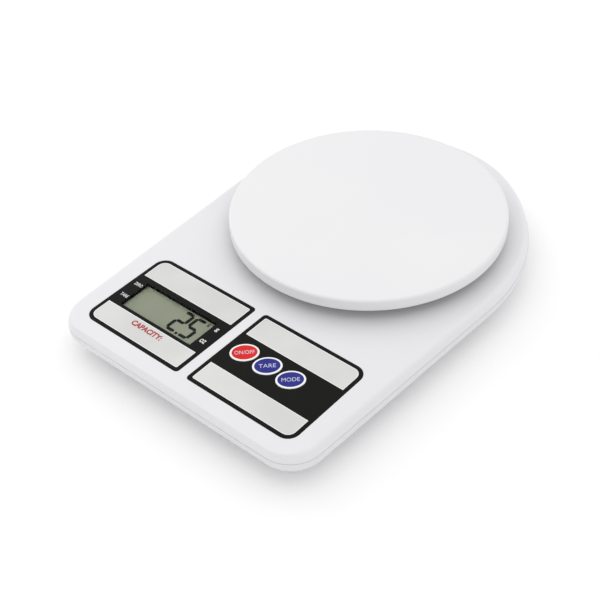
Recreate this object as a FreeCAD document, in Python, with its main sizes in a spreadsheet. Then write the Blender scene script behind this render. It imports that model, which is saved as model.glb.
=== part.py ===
"""Compact battery kitchen scale with a round platter on a load cell.

Frame: millimetres, +Z up, +Y away from the user, origin under the middle of the
body at the level of the feet. Every size that can be set by itself is one cell of
the sheet "Sizes"; everything else is worked out from those cells.
"""
import FreeCAD, Part
import math
import os
import Sketcher
from FreeCAD import Vector

# how far a cutting tool runs past the face it opens, and how deep joined pieces run into each other
OVERRUN = 1.0
JOIN_DEPTH = 0.5
SPRING_TURNS = 3

SIZES = (
    # case outline, seen from above: each shoulder arc reaches past the middle by its offset, and
    # the arc at the rear is smaller than a shoulder arc by its step
    ("body_length", 242.0), ("body_half_width", 83.8), ("side_flare", 2.15),
    ("front_corner_radius", 18.0), ("shoulder_offset", 16.2), ("apex_step", 30.0),
    # case heights, walls and edges
    ("seam_height", 15.3), ("deck_height", 20.35), ("floor_height", 2.5),
    ("deck_wall", 2.0), ("side_wall", 2.6), ("floor_wall", 2.0),
    ("deck_inset", 2.2), ("lid_upright", 0.25), ("deck_edge_radius", 1.6),
    ("band_height", 5.2), ("hull_inset", 14.0), ("hull_edge_radius", 5.0), ("floor_edge_radius", 3.0),
    # platter, lifted above the deck, and the holder under it
    ("platter_radius", 73.0), ("platter_front_margin", 151.2), ("platter_lift", 12.65),
    ("platter_rim_height", 6.45), ("platter_wall", 2.2), ("platter_edge_radius", 1.5), ("rim_edge_radius", 0.5),
    ("rib_ring_radius", 52.0), ("rib_width", 1.6), ("rib_depth", 3.0),
    ("holder_radius", 36.0), ("holder_thickness", 3.0), ("holder_drop", 4.0),
    ("post_length", 20.0), ("post_width", 16.0), ("post_clearance", 3.0),
    ("platter_screw_circle", 27.0), ("platter_boss_radius", 3.6), ("platter_screw_radius", 1.4),
    ("platter_head_radius", 2.8), ("platter_head_height", 1.6), ("platter_tip_gap", 0.6),
    # load cell, its seat and its overload stop
    ("cell_length", 70.0), ("cell_width", 12.0), ("cell_height", 9.0), ("cell_seat_height", 3.0),
    ("cell_seat_border", 2.0), ("cell_hole_end", 6.0), ("cell_hole_spacing", 10.0), ("cell_screw_radius", 2.0),
    ("cell_head_radius", 3.6), ("cell_head_height", 2.2), ("cell_head_sink", 0.3), ("cell_tip_gap", 1.0),
    ("cell_eye_radius", 3.2), ("cell_eye_spacing", 15.0), ("cell_slot_height", 2.0),
    ("potting_margin", 0.75), ("potting_reach", 4.0), ("potting_thickness", 0.9), ("holder_screw_grip", 6.0),
    ("overload_gap", 0.9), ("stop_boss_radius", 4.0), ("stop_radius", 2.5), ("stop_height", 1.0),
    # labels, window and keys
    ("label_length", 64.8), ("label_depth", 56.2), ("label_gap", 5.8), ("label_front_margin", 10.3),
    ("label_thickness", 0.4), ("label_recess", 0.3), ("label_outer_radius", 6.5), ("label_inner_radius", 2.0),
    ("window_length", 48.4), ("window_depth", 19.2), ("window_front_margin", 27.5), ("window_hole_border", 0.6),
    ("key_major_radius", 7.2), ("key_minor_radius", 5.8), ("key_tilt", 43.0), ("key_rise", 0.35),
    ("key_front_margin", 40.0), ("key_first_offset", 10.4), ("key_gap", 0.15),
    ("key_flange", 0.55), ("key_flange_thickness", 1.0), ("key_travel", 0.4),
    # electronics; the circuit board reaches past the display glass on every side
    ("lcd_border", 3.9), ("lcd_thickness", 2.6), ("strip_width", 2.4), ("strip_height", 3.0),
    ("board_border", 7.5), ("board_end_margin", 0.6), ("board_thickness", 1.2),
    ("board_screw_edge", 4.0), ("board_post_radius", 2.5), ("board_screw_radius", 1.1),
    ("board_head_radius", 2.2), ("board_head_height", 1.4), ("board_screw_grip", 3.2),
    ("switch_width", 6.0), ("switch_height", 2.6), ("switch_nub_radius", 1.6), ("switch_nub_height", 0.7),
    ("switch_gap", 0.15), ("chip_height", 1.6), ("blob_radius", 7.0),
    ("converter_offset", 8.0), ("converter_length", 6.2), ("converter_depth", 8.6),
    # two small round batteries side by side, in front of the load cell
    ("battery_radius", 5.25), ("battery_length", 44.5), ("battery_nub_radius", 1.9), ("battery_nub", 1.2),
    ("battery_gap", 0.5), ("battery_side_gap", 0.55), ("battery_floor_gap", 0.3), ("battery_roof_gap", 0.6),
    ("battery_spring_length", 5.5), ("battery_wall", 3.0), ("bay_roof", 1.4), ("bay_cell_gap", 16.9),
    ("contact_thickness", 0.5), ("contact_inset", 1.3), ("spring_wire_radius", 0.4), ("spring_inset", 2.1),
    ("spring_bite", 0.08),
    # battery door, its two hooks and its latch tongue
    ("door_end_lip", 2.3), ("door_side_lip", 1.9), ("door_clearance", 0.25), ("door_inner_gap", 0.1),
    ("door_tab_length", 1.5), ("door_tab_width", 7.0), ("tab_thickness", 0.9), ("tab_lift", 0.3),
    ("hook_setback", 3.2), ("hook_thickness", 1.2), ("slot_side_gap", 0.4), ("slot_front_gap", 0.5),
    ("slot_swing_gap", 0.8), ("slot_roof_gap", 0.6),
    ("latch_width", 10.0), ("latch_reach", 2.2), ("latch_lift", 0.5), ("latch_inner_gap", 0.1),
    ("finger_gap", 1.8),
    # feet and case screws
    ("foot_radius", 7.0), ("foot_recess", 1.0),
    ("foot_side_margin", 31.8), ("foot_front_margin", 33.0), ("foot_rear_margin", 59.0),
    ("case_screw_radius", 1.5), ("case_head_radius", 3.0), ("case_head_height", 2.2), ("case_head_sink", 0.8),
    ("case_screw_grip", 3.0), ("case_boss_radius", 4.0), ("lid_boss_radius", 3.5), ("case_boss_split", 11.0),
    ("case_screw_board_gap", 8.9), ("case_screw_front_inset", 25.8),
    ("case_screw_middle_drop", 10.2), ("case_screw_middle_inset", 23.8),
    ("case_screw_rear_margin", 37.0), ("case_screw_rear_offset", 36.0),
    # clearances: parts that slide past each other, a screw in its thread, a screw head in its
    # bore, faces that almost touch, and the spare depth of a blind screw hole
    ("running_gap", 0.2), ("screw_gap", 0.05), ("bore_gap", 0.4), ("touch_gap", 0.05), ("pilot_spare", 0.8),
)

doc = FreeCAD.newDocument("KitchenScale")
sheet = doc.addObject("Spreadsheet::Sheet", "Sizes")
for row, (alias, number) in enumerate(SIZES, start=1):
    sheet.set(f"A{row}", alias)
    sheet.set(f"B{row}", str(number))
    sheet.setAlias(f"B{row}", alias)
doc.recompute()


class Size:
    """A value known both as a number and as the expression that gives it from the sheet."""

    def __init__(self, number, text):
        self.number = number
        self.text = text

    def combine(self, sign, other, swap=False):
        """Join two values with + - * or /."""
        left, right = (as_size(other), self) if swap else (self, as_size(other))
        results = {"+": left.number + right.number, "-": left.number - right.number,
                   "*": left.number * right.number}
        number = left.number / right.number if sign == "/" else results[sign]
        return Size(number, f"({left.text} {sign} {right.text})")

    def __add__(self, other):
        return self.combine("+", other)

    def __radd__(self, other):
        return self.combine("+", other, swap=True)

    def __sub__(self, other):
        return self.combine("-", other)

    def __rsub__(self, other):
        return self.combine("-", other, swap=True)

    def __mul__(self, other):
        return self.combine("*", other)

    def __rmul__(self, other):
        return self.combine("*", other, swap=True)

    def __truediv__(self, other):
        return self.combine("/", other)

    def __neg__(self):
        return 0 - self


def as_size(value):
    """Wrap a plain number as a Size."""
    return value if isinstance(value, Size) else Size(float(value), repr(float(value)))


class Sheet:
    """Every alias of the sheet as an attribute."""

    def __getattr__(self, alias):
        return Size(float(sheet.get(alias)), f"Sizes.{alias}")


size = Sheet()
nodes = {}


# ---------- helpers ----------

def bind(item, path, value):
    """Drive a property or a constraint from the sheet."""
    item.setExpression(path, as_size(value).text)


def place(item, x=0, y=0, z=0):
    """Drive the three coordinates of an object's Placement."""
    for axis, value in zip("xyz", (x, y, z)):
        bind(item, f".Placement.Base.{axis}", value)
    return item


def block(name, middle, bottom, sides):
    """A box centred on middle (x, y), standing on bottom."""
    item = doc.addObject("Part::Box", name)
    for prop, value in zip(("Length", "Width", "Height"), sides):
        bind(item, prop, value)
    return place(item, middle[0] - sides[0] / 2, middle[1] - sides[1] / 2, bottom)


def rod(name, middle, bottom, radius, height):
    """An upright cylinder."""
    item = doc.addObject("Part::Cylinder", name)
    bind(item, "Radius", radius)
    bind(item, "Height", height)
    return place(item, middle[0], middle[1], bottom)


def rod_along_x(name, start, radius, length):
    """A cylinder lying along +X from start (x, y, z)."""
    item = rod(name, start[:2], start[2], radius, length)
    item.Placement.Rotation = FreeCAD.Rotation(Vector(0, 1, 0), 90)
    return item


def oval(name, middle, bottom, radii, height):
    """An upright elliptic prism whose long axis is turned by the key tilt."""
    curve = doc.addObject("Part::Ellipse", name + "Curve")
    bind(curve, "MajorRadius", radii[0])
    bind(curve, "MinorRadius", radii[1])
    place(curve, middle[0], middle[1], bottom)
    curve.Placement.Rotation = FreeCAD.Rotation(Vector(0, 0, 1), size.key_tilt.number)
    item = doc.addObject("Part::Extrusion", name)
    item.Base = curve
    item.Dir = Vector(0, 0, 1)
    item.Solid = True
    bind(item, "LengthFwd", height)
    return item


def fuse(name, items):
    """Union of several objects."""
    if len(items) == 1:
        return items[0]
    item = doc.addObject("Part::MultiFuse", name)
    item.Shapes = items
    return item


def cut(name, base, tools):
    """Base with every tool taken away."""
    item = doc.addObject("Part::Cut", name)
    item.Base = base
    item.Tool = fuse(name + "Tools", tools)
    return item


def keep(node, item):
    """Name an object as a finished piece of the scale."""
    item.Label = node
    nodes[node] = item
    return item


def new_body(name):
    """An empty PartDesign body."""
    return doc.addObject("PartDesign::Body", name)


def sketch_on(body, name, role="XY_Plane", offset=0):
    """A sketch on one of the body's origin planes, raised along the plane's normal."""
    sketch = body.newObject("Sketcher::SketchObject", name)
    plane = [item for item in body.Origin.OriginFeatures if item.Role == role][0]
    sketch.AttachmentSupport = (plane, [""])
    sketch.MapMode = "FlatFace"
    bind(sketch, ".AttachmentOffset.Base.z", offset)
    return sketch


def dimension(sketch, kind, place_args, value):
    """A named dimension driven from the sheet."""
    value = as_size(value)
    number = math.radians(value.number) if kind == "Angle" else value.number
    index = sketch.addConstraint(Sketcher.Constraint(kind, *place_args, number))
    name = f"d{index}"
    sketch.renameConstraint(index, name)
    sketch.setExpression(f"Constraints.{name}", value.text + (" * 1 deg" if kind == "Angle" else ""))


def polygon(sketch, points):
    """A closed polygon through points, each coordinate driven from the sheet."""
    points = [(as_size(x), as_size(y)) for x, y in points]
    first = sketch.GeometryCount
    count = len(points)
    for index, (x, y) in enumerate(points):
        after = points[(index + 1) % count]
        start = Vector(x.number, y.number, 0)
        end = Vector(after[0].number, after[1].number, 0)
        sketch.addGeometry(Part.LineSegment(start, end), False)
    for index, (x, y) in enumerate(points):
        line = first + index
        after = first + (index + 1) % count
        sketch.addConstraint(Sketcher.Constraint("Coincident", line, 2, after, 1))
        dimension(sketch, "DistanceX", (-1, 1, line, 1), x)
        dimension(sketch, "DistanceY", (-1, 1, line, 1), y)


def rectangle(sketch, middle, sides):
    """A rectangle centred on middle."""
    right, rear = middle[0] + sides[0] / 2, middle[1] + sides[1] / 2
    left, front = middle[0] - sides[0] / 2, middle[1] - sides[1] / 2
    polygon(sketch, ((left, front), (right, front), (right, rear), (left, rear)))


def case_outline(sketch, inset=0):
    """Plan outline of the case, moved inwards by the inset.

    A straight front, two front corners, flared sides, two long shoulder arcs and one
    apex arc at the rear, each tangent to the next.
    """
    half = size.body_half_width - inset
    front = inset - size.body_length / 2
    rear = size.body_length / 2 - inset
    corner = size.front_corner_radius - inset
    shoulder = half + size.shoulder_offset
    apex = shoulder - size.apex_step

    flare = math.radians(size.side_flare.number)
    outward = Vector(math.cos(flare), -math.sin(flare), 0)
    along = Vector(math.sin(flare), math.cos(flare), 0)
    corner_y = front.number + corner.number
    corner_x = (half.number - corner.number + corner_y * math.sin(flare)) / math.cos(flare)
    corner_centre = Vector(corner_x, corner_y, 0)
    apex_centre = Vector(0, rear.number - apex.number, 0)
    reach = outward * (half.number - shoulder.number) - apex_centre
    middle_term = along.dot(reach)
    gap = shoulder.number - apex.number
    slide = -middle_term - math.sqrt(middle_term ** 2 - reach.dot(reach) + gap ** 2)
    shoulder_centre = outward * (half.number - shoulder.number) + along * slide
    turn = apex_centre - shoulder_centre
    turn_angle = math.atan2(turn.y, turn.x)

    def arc(centre, radius, start, end):
        ring = Part.Circle(centre, Vector(0, 0, 1), radius.number)
        return Part.ArcOfCircle(ring, start, end)

    def mirrored(point):
        return Vector(-point.x, point.y, 0)

    side_start = corner_centre + outward * corner.number
    side_end = shoulder_centre + outward * shoulder.number
    front_end = Vector(corner_centre.x, front.number, 0)
    shapes = (
        Part.LineSegment(mirrored(front_end), front_end),
        arc(corner_centre, corner, -math.pi / 2, -flare),
        Part.LineSegment(side_start, side_end),
        arc(shoulder_centre, shoulder, -flare, turn_angle),
        arc(apex_centre, apex, turn_angle, math.pi - turn_angle),
        arc(mirrored(shoulder_centre), shoulder, math.pi - turn_angle, math.pi + flare),
        Part.LineSegment(mirrored(side_end), mirrored(side_start)),
        arc(mirrored(corner_centre), corner, math.pi + flare, 1.5 * math.pi),
    )
    for shape in shapes:
        sketch.addGeometry(shape, False)
    for index in range(len(shapes)):
        after = (index + 1) % len(shapes)
        sketch.addConstraint(Sketcher.Constraint("Tangent", index, 2, after, 1))
    sketch.addConstraint(Sketcher.Constraint("Symmetric", 0, 1, 0, 2, -2))
    sketch.addConstraint(Sketcher.Constraint("PointOnObject", 4, 3, -2))
    sketch.addConstraint(Sketcher.Constraint("Equal", 1, 7))
    sketch.addConstraint(Sketcher.Constraint("Equal", 3, 5))
    dimension(sketch, "Radius", (1,), corner)
    dimension(sketch, "Radius", (3,), shoulder)
    dimension(sketch, "Radius", (4,), apex)
    dimension(sketch, "DistanceY", (-1, 1, 0, 1), front)
    dimension(sketch, "DistanceY", (-1, 1, 4, 3), rear - apex)
    dimension(sketch, "Angle", (2,), 90 - size.side_flare)
    dimension(sketch, "Distance", (-1, 1, 2), half)
    dimension(sketch, "Distance", (-1, 1, 6), half)


def hollow(body, name, lower, upper):
    """Cavity between two case outlines, each given as (height, inset)."""
    sketches = []
    for index, (height, inset) in enumerate((lower, upper)):
        sketch = sketch_on(body, f"{name}Level{index}", offset=height)
        case_outline(sketch, inset)
        sketches.append(sketch)
    doc.recompute()
    item = body.newObject("PartDesign::SubtractiveLoft", name)
    item.Profile = sketches[0]
    item.Sections = sketches[1:]
    item.Ruled = True
    doc.recompute()
    return item


def pad(body, name, sketch, length, kind="PartDesign::Pad", reverse=False):
    """Pad or Pocket of a sketch."""
    item = body.newObject(kind, name)
    item.Profile = sketch
    item.Reversed = reverse
    bind(item, "Length", length)
    doc.recompute()
    return item


def round_edges(body, name, base, test, radius):
    """Fillet of every edge of base that passes the test."""
    edges = [f"Edge{index}" for index, edge in enumerate(base.Shape.Edges, start=1) if test(edge)]
    item = body.newObject("PartDesign::Fillet", name)
    item.Base = (base, edges)
    bind(item, "Radius", radius)
    doc.recompute()
    return item


def bevel_edges(body, name, base, test, across, down):
    """Two-distance chamfer of every upright-walled edge of base that passes the test."""
    edges = [f"Edge{index}" for index, edge in enumerate(base.Shape.Edges, start=1) if test(edge)]
    item = body.newObject("PartDesign::Chamfer", name)
    item.Base = (base, edges)
    item.ChamferType = "Two distances"
    item.FlipDirection = True
    bind(item, "Size", across)
    bind(item, "Size2", down)
    doc.recompute()
    return item


def at_height(height, tolerance=0.01):
    """Test for edges that lie wholly at one height."""
    return lambda edge: all(abs(vertex.Z - height.number) < tolerance for vertex in edge.Vertexes)


def screw(name, middle, head_bottom, head_radius, head_height, radius, length, down=False):
    """A pan-head screw; the shank runs up from the head, or down when down is set."""
    head = rod(name + "Head", middle, head_bottom, head_radius, head_height)
    start = head_bottom - length if down else head_bottom + head_height
    shank = rod(name + "Shank", middle, start, radius, length)
    return fuse(name, [head, shank])


# ---------- places shared by several pieces ----------

front_edge = -size.body_length / 2
rear_edge = size.body_length / 2
middle_x = as_size(0)
deck_under = size.deck_height - size.deck_wall
floor_top = size.floor_height + size.floor_wall
platter_y = front_edge + size.platter_front_margin
platter_top = size.deck_height + size.platter_lift
plate_under = platter_top - size.platter_wall
rim_bottom = platter_top - size.platter_rim_height
holder_top = plate_under - size.holder_drop
holder_under = holder_top - size.holder_thickness
holder_head_seat = holder_top - size.cell_head_height - size.bore_gap

cell_bottom = floor_top + size.cell_seat_height
cell_top = cell_bottom + size.cell_height
cell_half = size.cell_length / 2
fixed_end_y = platter_y - cell_half + size.cell_hole_end + size.cell_hole_spacing / 2
free_end_y = platter_y + cell_half - size.cell_hole_end - size.cell_hole_spacing / 2
cell_head_top = size.floor_height + size.cell_head_sink + size.cell_head_height

label_x = (size.label_gap + size.label_length) / 2
label_y = front_edge + size.label_front_margin + size.label_depth / 2
label_bottom = size.deck_height - size.label_recess
window_y = front_edge + size.window_front_margin + size.window_depth / 2

lcd_length = size.window_length + 2 * size.lcd_border
lcd_depth = size.window_depth + 2 * size.lcd_border
lcd_bottom = deck_under - size.lcd_thickness
board_length = 2 * (label_x + lcd_length / 2 + size.board_end_margin)
board_depth = lcd_depth + 2 * size.board_border
board_top = lcd_bottom - size.strip_height
board_bottom = board_top - size.board_thickness

battery_pitch = 2 * size.battery_radius + size.battery_gap
battery_z = floor_top + size.battery_floor_gap + size.battery_radius
bay_length = size.battery_length + size.battery_spring_length + 2 * size.contact_thickness
bay_depth = battery_pitch + 2 * size.battery_radius + 2 * size.battery_side_gap
bay_top = battery_z + size.battery_radius + size.battery_roof_gap
bay_y = platter_y - cell_half - size.bay_cell_gap - size.battery_wall - bay_depth / 2
door_length = bay_length + 2 * size.door_end_lip
door_depth = bay_depth + 2 * size.door_side_lip
door_front = bay_y - door_depth / 2
door_rear = bay_y + door_depth / 2
hook_x = bay_length / 4

KEYS = ("power", "tare", "mode")
key_y = front_edge + size.key_front_margin
key_spacing = 2 * size.key_major_radius + size.key_gap
key_first_x = size.label_gap / 2 + size.key_first_offset
key_centres = [(key_first_x + index * key_spacing, key_y) for index in range(len(KEYS))]


def both_sides(x, y):
    """The same place left and right of the middle."""
    return [(-x, y), (x, y)]


board_screw_x = board_length / 2 - size.board_screw_edge
board_screw_y = board_depth / 2 - size.board_screw_edge
board_screws = both_sides(board_screw_x, window_y - board_screw_y)
board_screws += both_sides(board_screw_x, window_y + board_screw_y)
case_screws = both_sides(size.body_half_width - size.case_screw_front_inset,
                         window_y + board_depth / 2 + size.case_screw_board_gap)
case_screws += both_sides(size.body_half_width - size.case_screw_middle_inset,
                          platter_y - size.case_screw_middle_drop)
case_screws += both_sides(size.case_screw_rear_offset, rear_edge - size.case_screw_rear_margin)
case_head_top = size.floor_height + size.case_head_sink + size.case_head_height
fixed_screws = [(middle_x, fixed_end_y + side * size.cell_hole_spacing / 2) for side in (-1, 1)]
free_screws = [(middle_x, free_end_y + side * size.cell_hole_spacing / 2) for side in (-1, 1)]
platter_screw_step = size.platter_screw_circle * math.sqrt(0.5)
platter_screws = both_sides(platter_screw_step, platter_y - platter_screw_step)
platter_screws += both_sides(platter_screw_step, platter_y + platter_screw_step)
foot_x = size.body_half_width - size.foot_side_margin
foot_spots = both_sides(foot_x, front_edge + size.foot_front_margin)
foot_spots += both_sides(foot_x, rear_edge - size.foot_rear_margin)
feet = dict(zip(("front_left", "front_right", "rear_left", "rear_right"), foot_spots))


# ---------- case ----------

def make_lower_shell():
    """Boat-shaped tray with screw bosses, the load cell seat and the battery bay."""
    body = new_body("LowerBody")
    band_bottom = size.seam_height - size.band_height
    outline = sketch_on(body, "HullOutline", offset=size.floor_height)
    case_outline(outline)
    doc.recompute()
    hull = pad(body, "Hull", outline, size.seam_height - size.floor_height)
    hull = bevel_edges(body, "HullSlope", hull, at_height(size.floor_height), size.hull_inset,
                       band_bottom - size.floor_height)
    hull = round_edges(body, "HullEdge", hull, at_height(band_bottom), size.hull_edge_radius)
    round_edges(body, "FloorEdge", hull, at_height(size.floor_height), size.floor_edge_radius)
    wall = size.side_wall
    hollow(body, "HullHollow", (floor_top, size.hull_inset + wall), (band_bottom + size.floor_wall, wall))
    mouth = sketch_on(body, "MouthOutline", offset=size.seam_height)
    case_outline(mouth, wall)
    doc.recompute()
    pad(body, "Mouth", mouth, size.band_height - size.floor_wall, "PartDesign::Pocket")

    boss_height = size.case_boss_split - floor_top
    added = [body]
    added += [rod("CaseBoss", spot, floor_top, size.case_boss_radius, boss_height) for spot in case_screws]
    seat_sides = (size.cell_width + 2 * size.cell_seat_border, size.cell_hole_spacing + 2 * size.cell_hole_end,
                  size.cell_seat_height)
    added.append(block("CellSeat", (middle_x, fixed_end_y), floor_top, seat_sides))
    added.append(rod("StopBoss", (middle_x, free_end_y), floor_top, size.stop_boss_radius,
                     size.cell_seat_height - size.overload_gap - size.stop_height))
    bay_outer = (bay_length + 2 * size.battery_wall, bay_depth + 2 * size.battery_wall,
                 bay_top + size.bay_roof - size.floor_height)
    added.append(block("BayOuter", (middle_x, bay_y), size.floor_height, bay_outer))
    solid = fuse("LowerSolid", added)

    under = size.floor_height - OVERRUN
    removed = [block("BayInner", (middle_x, bay_y), under, (bay_length, bay_depth, bay_top - under))]
    door_hole = (door_length + 2 * size.door_clearance, door_depth + 2 * size.door_clearance, floor_top - under)
    removed.append(block("DoorHole", (middle_x, bay_y), under, door_hole))
    slot_front = door_front - size.door_tab_length - size.slot_front_gap
    slot_rear = door_front + size.hook_setback + size.slot_swing_gap
    slot_sides = (size.door_tab_width + 2 * size.slot_side_gap, slot_rear - slot_front,
                  size.tab_lift + size.tab_thickness + size.slot_roof_gap)
    for x, y in both_sides(hook_x, (slot_front + slot_rear) / 2):
        removed.append(block("TabSlot", (x, y), floor_top, slot_sides))
    notch = size.latch_reach + size.finger_gap
    removed.append(block("LatchNotch", (middle_x, door_rear + notch / 2), under,
                         (size.latch_width + 2 * size.slot_side_gap, notch, floor_top - under)))
    for spot in case_screws:
        removed.append(rod("CaseHole", spot, under, size.case_screw_radius + size.running_gap,
                           size.case_boss_split - under + OVERRUN))
        removed.append(rod("CaseBore", spot, under, size.case_head_radius + size.bore_gap,
                           case_head_top - under))
    for spot in fixed_screws:
        removed.append(rod("CellHole", spot, under, size.cell_screw_radius + size.running_gap,
                           cell_bottom - under + OVERRUN))
        removed.append(rod("CellBore", spot, under, size.cell_head_radius + size.bore_gap,
                           cell_head_top - under))
    for spot in feet.values():
        removed.append(rod("FootRecess", spot, under, size.foot_radius + size.running_gap,
                           size.foot_recess + OVERRUN))
    keep("lower_shell", cut("LowerShell", solid, removed))


def make_upper_shell():
    """Drafted lid with the deck, the label recesses, the window, the key holes and posts."""
    body = new_body("UpperBody")
    height = size.deck_height - size.seam_height
    outline = sketch_on(body, "LidOutline", offset=size.seam_height)
    case_outline(outline)
    doc.recompute()
    lid = pad(body, "Lid", outline, height)
    lid = bevel_edges(body, "LidSlope", lid, at_height(size.deck_height), size.deck_inset,
                      height - size.lid_upright)
    round_edges(body, "DeckEdge", lid, at_height(size.deck_height), size.deck_edge_radius)
    wall = size.side_wall
    hollow(body, "LidHollow", (size.seam_height, wall), (deck_under, wall + size.deck_inset))

    added = [body]
    case_post = deck_under - size.case_boss_split + JOIN_DEPTH
    added += [rod("LidBoss", spot, size.case_boss_split, size.lid_boss_radius, case_post)
              for spot in case_screws]
    board_post = deck_under - board_top + JOIN_DEPTH
    added += [rod("BoardPost", spot, board_top, size.board_post_radius, board_post) for spot in board_screws]
    solid = fuse("UpperSolid", added)

    removed = []
    recess = size.running_gap / 2
    for side, name in ((-1, "Display"), (1, "Keypad")):
        removed.append(label_plate(name + "Recess", side, recess, label_bottom, size.label_recess + OVERRUN))
    under = deck_under - OVERRUN
    through = size.deck_wall + 2 * OVERRUN
    border = 2 * size.window_hole_border
    removed.append(block("WindowHole", (-label_x, window_y), under,
                         (size.window_length + border, size.window_depth + border, through)))
    for name, spot in zip(KEYS, key_centres):
        removed.append(oval(f"KeyHole_{name}", spot, under, grown_key(size.running_gap), through))
    post_hole = (size.post_width + 2 * size.post_clearance, size.post_length + 2 * size.post_clearance, through)
    removed.append(block("PostHole", (middle_x, free_end_y), under, post_hole))
    for spot in case_screws:
        removed.append(rod("CasePilot", spot, size.case_boss_split - OVERRUN,
                           size.case_screw_radius + size.screw_gap,
                           size.case_screw_grip + size.pilot_spare + OVERRUN))
    for spot in board_screws:
        removed.append(rod("BoardPilot", spot, board_top - OVERRUN, size.board_screw_radius + size.screw_gap,
                           size.board_screw_grip + size.pilot_spare + OVERRUN))
    keep("upper_shell", cut("UpperShell", solid, removed))


def grown_key(growth):
    """Both radii of a key's oval, grown by one amount."""
    return size.key_major_radius + growth, size.key_minor_radius + growth


def label_plate(name, side, grow, bottom, height):
    """Plate of one label: large corners on the outer side, small ones beside the other label."""
    body = new_body(name + "Body")
    sketch = sketch_on(body, name + "Outline", offset=bottom)
    sides = (size.label_length + 2 * grow, size.label_depth + 2 * grow)
    rectangle(sketch, (side * label_x, label_y), sides)
    doc.recompute()
    plate = pad(body, name + "Pad", sketch, height)
    middle = side * label_x.number

    def upright(edge):
        first, last = edge.Vertexes[0].Point, edge.Vertexes[-1].Point
        return math.hypot(first.x - last.x, first.y - last.y) < 0.01

    outer = round_edges(body, name + "Outer", plate,
                        lambda edge: upright(edge) and (edge.Vertexes[0].X - middle) * side > 0,
                        size.label_outer_radius)
    inner_x = side * (label_x.number - sides[0].number / 2)
    round_edges(body, name + "Inner", outer,
                lambda edge: upright(edge) and abs(edge.Vertexes[0].X - inner_x) < 0.01,
                size.label_inner_radius)
    return body


def make_labels():
    """Two overlay labels, the clear window and the three keys."""
    plate = label_plate("DisplayLabel", -1, 0, label_bottom, size.label_thickness)
    through = size.label_thickness + 2 * OVERRUN
    opening = block("WindowCut", (-label_x, window_y), label_bottom - OVERRUN,
                    (size.window_length, size.window_depth, through))
    keep("display_label", cut("DisplayPlate", plate, [opening]))
    window_sides = (size.window_length - 2 * size.touch_gap, size.window_depth - 2 * size.touch_gap,
                    size.label_thickness)
    keep("display_window", block("Window", (-label_x, window_y), label_bottom, window_sides))
    plate = label_plate("KeypadLabel", 1, 0, label_bottom, size.label_thickness)
    holes = [oval(f"LabelHole_{name}", spot, label_bottom - OVERRUN, grown_key(size.running_gap), through)
             for name, spot in zip(KEYS, key_centres)]
    keep("keypad_label", cut("KeypadPlate", plate, holes))


def make_keys():
    """Oval key caps, each with a flange under the deck and a stem over its switch."""
    flange_top = deck_under - 2 * size.touch_gap
    flange_bottom = flange_top - size.key_flange_thickness
    nub_bottom = board_top + size.switch_height
    stem_bottom = nub_bottom + size.switch_nub_height + size.key_travel + size.switch_gap
    cap_top = size.deck_height + size.key_rise
    for name, spot in zip(KEYS, key_centres):
        cap = oval(f"Cap_{name}", spot, flange_bottom, grown_key(0), cap_top - flange_bottom)
        flange = oval(f"Flange_{name}", spot, flange_bottom, grown_key(size.key_flange),
                      size.key_flange_thickness)
        stem = rod(f"Stem_{name}", spot, stem_bottom, size.switch_nub_radius,
                   flange_bottom - stem_bottom + JOIN_DEPTH)
        keep(f"key_{name}", fuse(f"Key_{name}", [cap, flange, stem]))
        body = block(f"SwitchBody_{name}", spot, board_top,
                     (size.switch_width, size.switch_width, size.switch_height))
        nub = rod(f"SwitchNub_{name}", spot, nub_bottom, size.switch_nub_radius, size.switch_nub_height)
        keep(f"switch_{name}", fuse(f"Switch_{name}", [body, nub]))


# ---------- electronics ----------

def make_electronics():
    """Display glass, its contact strips, the circuit board, chips and board screws."""
    keep("lcd_glass", block("LcdGlass", (-label_x, window_y), lcd_bottom,
                            (lcd_length, lcd_depth, size.lcd_thickness)))
    strips = [block("Strip", (-label_x, window_y + side * (lcd_depth - size.strip_width) / 2), board_top,
                    (size.window_length, size.strip_width, size.strip_height)) for side in (-1, 1)]
    keep("contact_strips", fuse("ContactStrips", strips))
    board = block("BoardBlank", (middle_x, window_y), board_bottom,
                  (board_length, board_depth, size.board_thickness))
    holes = [rod("BoardHole", spot, board_bottom - OVERRUN, size.board_screw_radius + size.running_gap,
                 size.board_thickness + 2 * OVERRUN) for spot in board_screws]
    keep("circuit_board", cut("Board", board, holes))
    chip_bottom = board_bottom - size.chip_height
    keep("chip_blob", rod("ChipBlob", (-label_x, window_y), chip_bottom, size.blob_radius, size.chip_height))
    keep("converter_chip", block("ConverterChip", (size.converter_offset, window_y), chip_bottom,
                                 (size.converter_length, size.converter_depth, size.chip_height)))
    shank = size.board_thickness + size.board_screw_grip
    screws = [screw("BoardScrew", spot, board_bottom - size.board_head_height, size.board_head_radius,
                    size.board_head_height, size.board_screw_radius, shank) for spot in board_screws]
    keep("board_screws", fuse("BoardScrews", screws))


# ---------- weighing mechanism ----------

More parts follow.
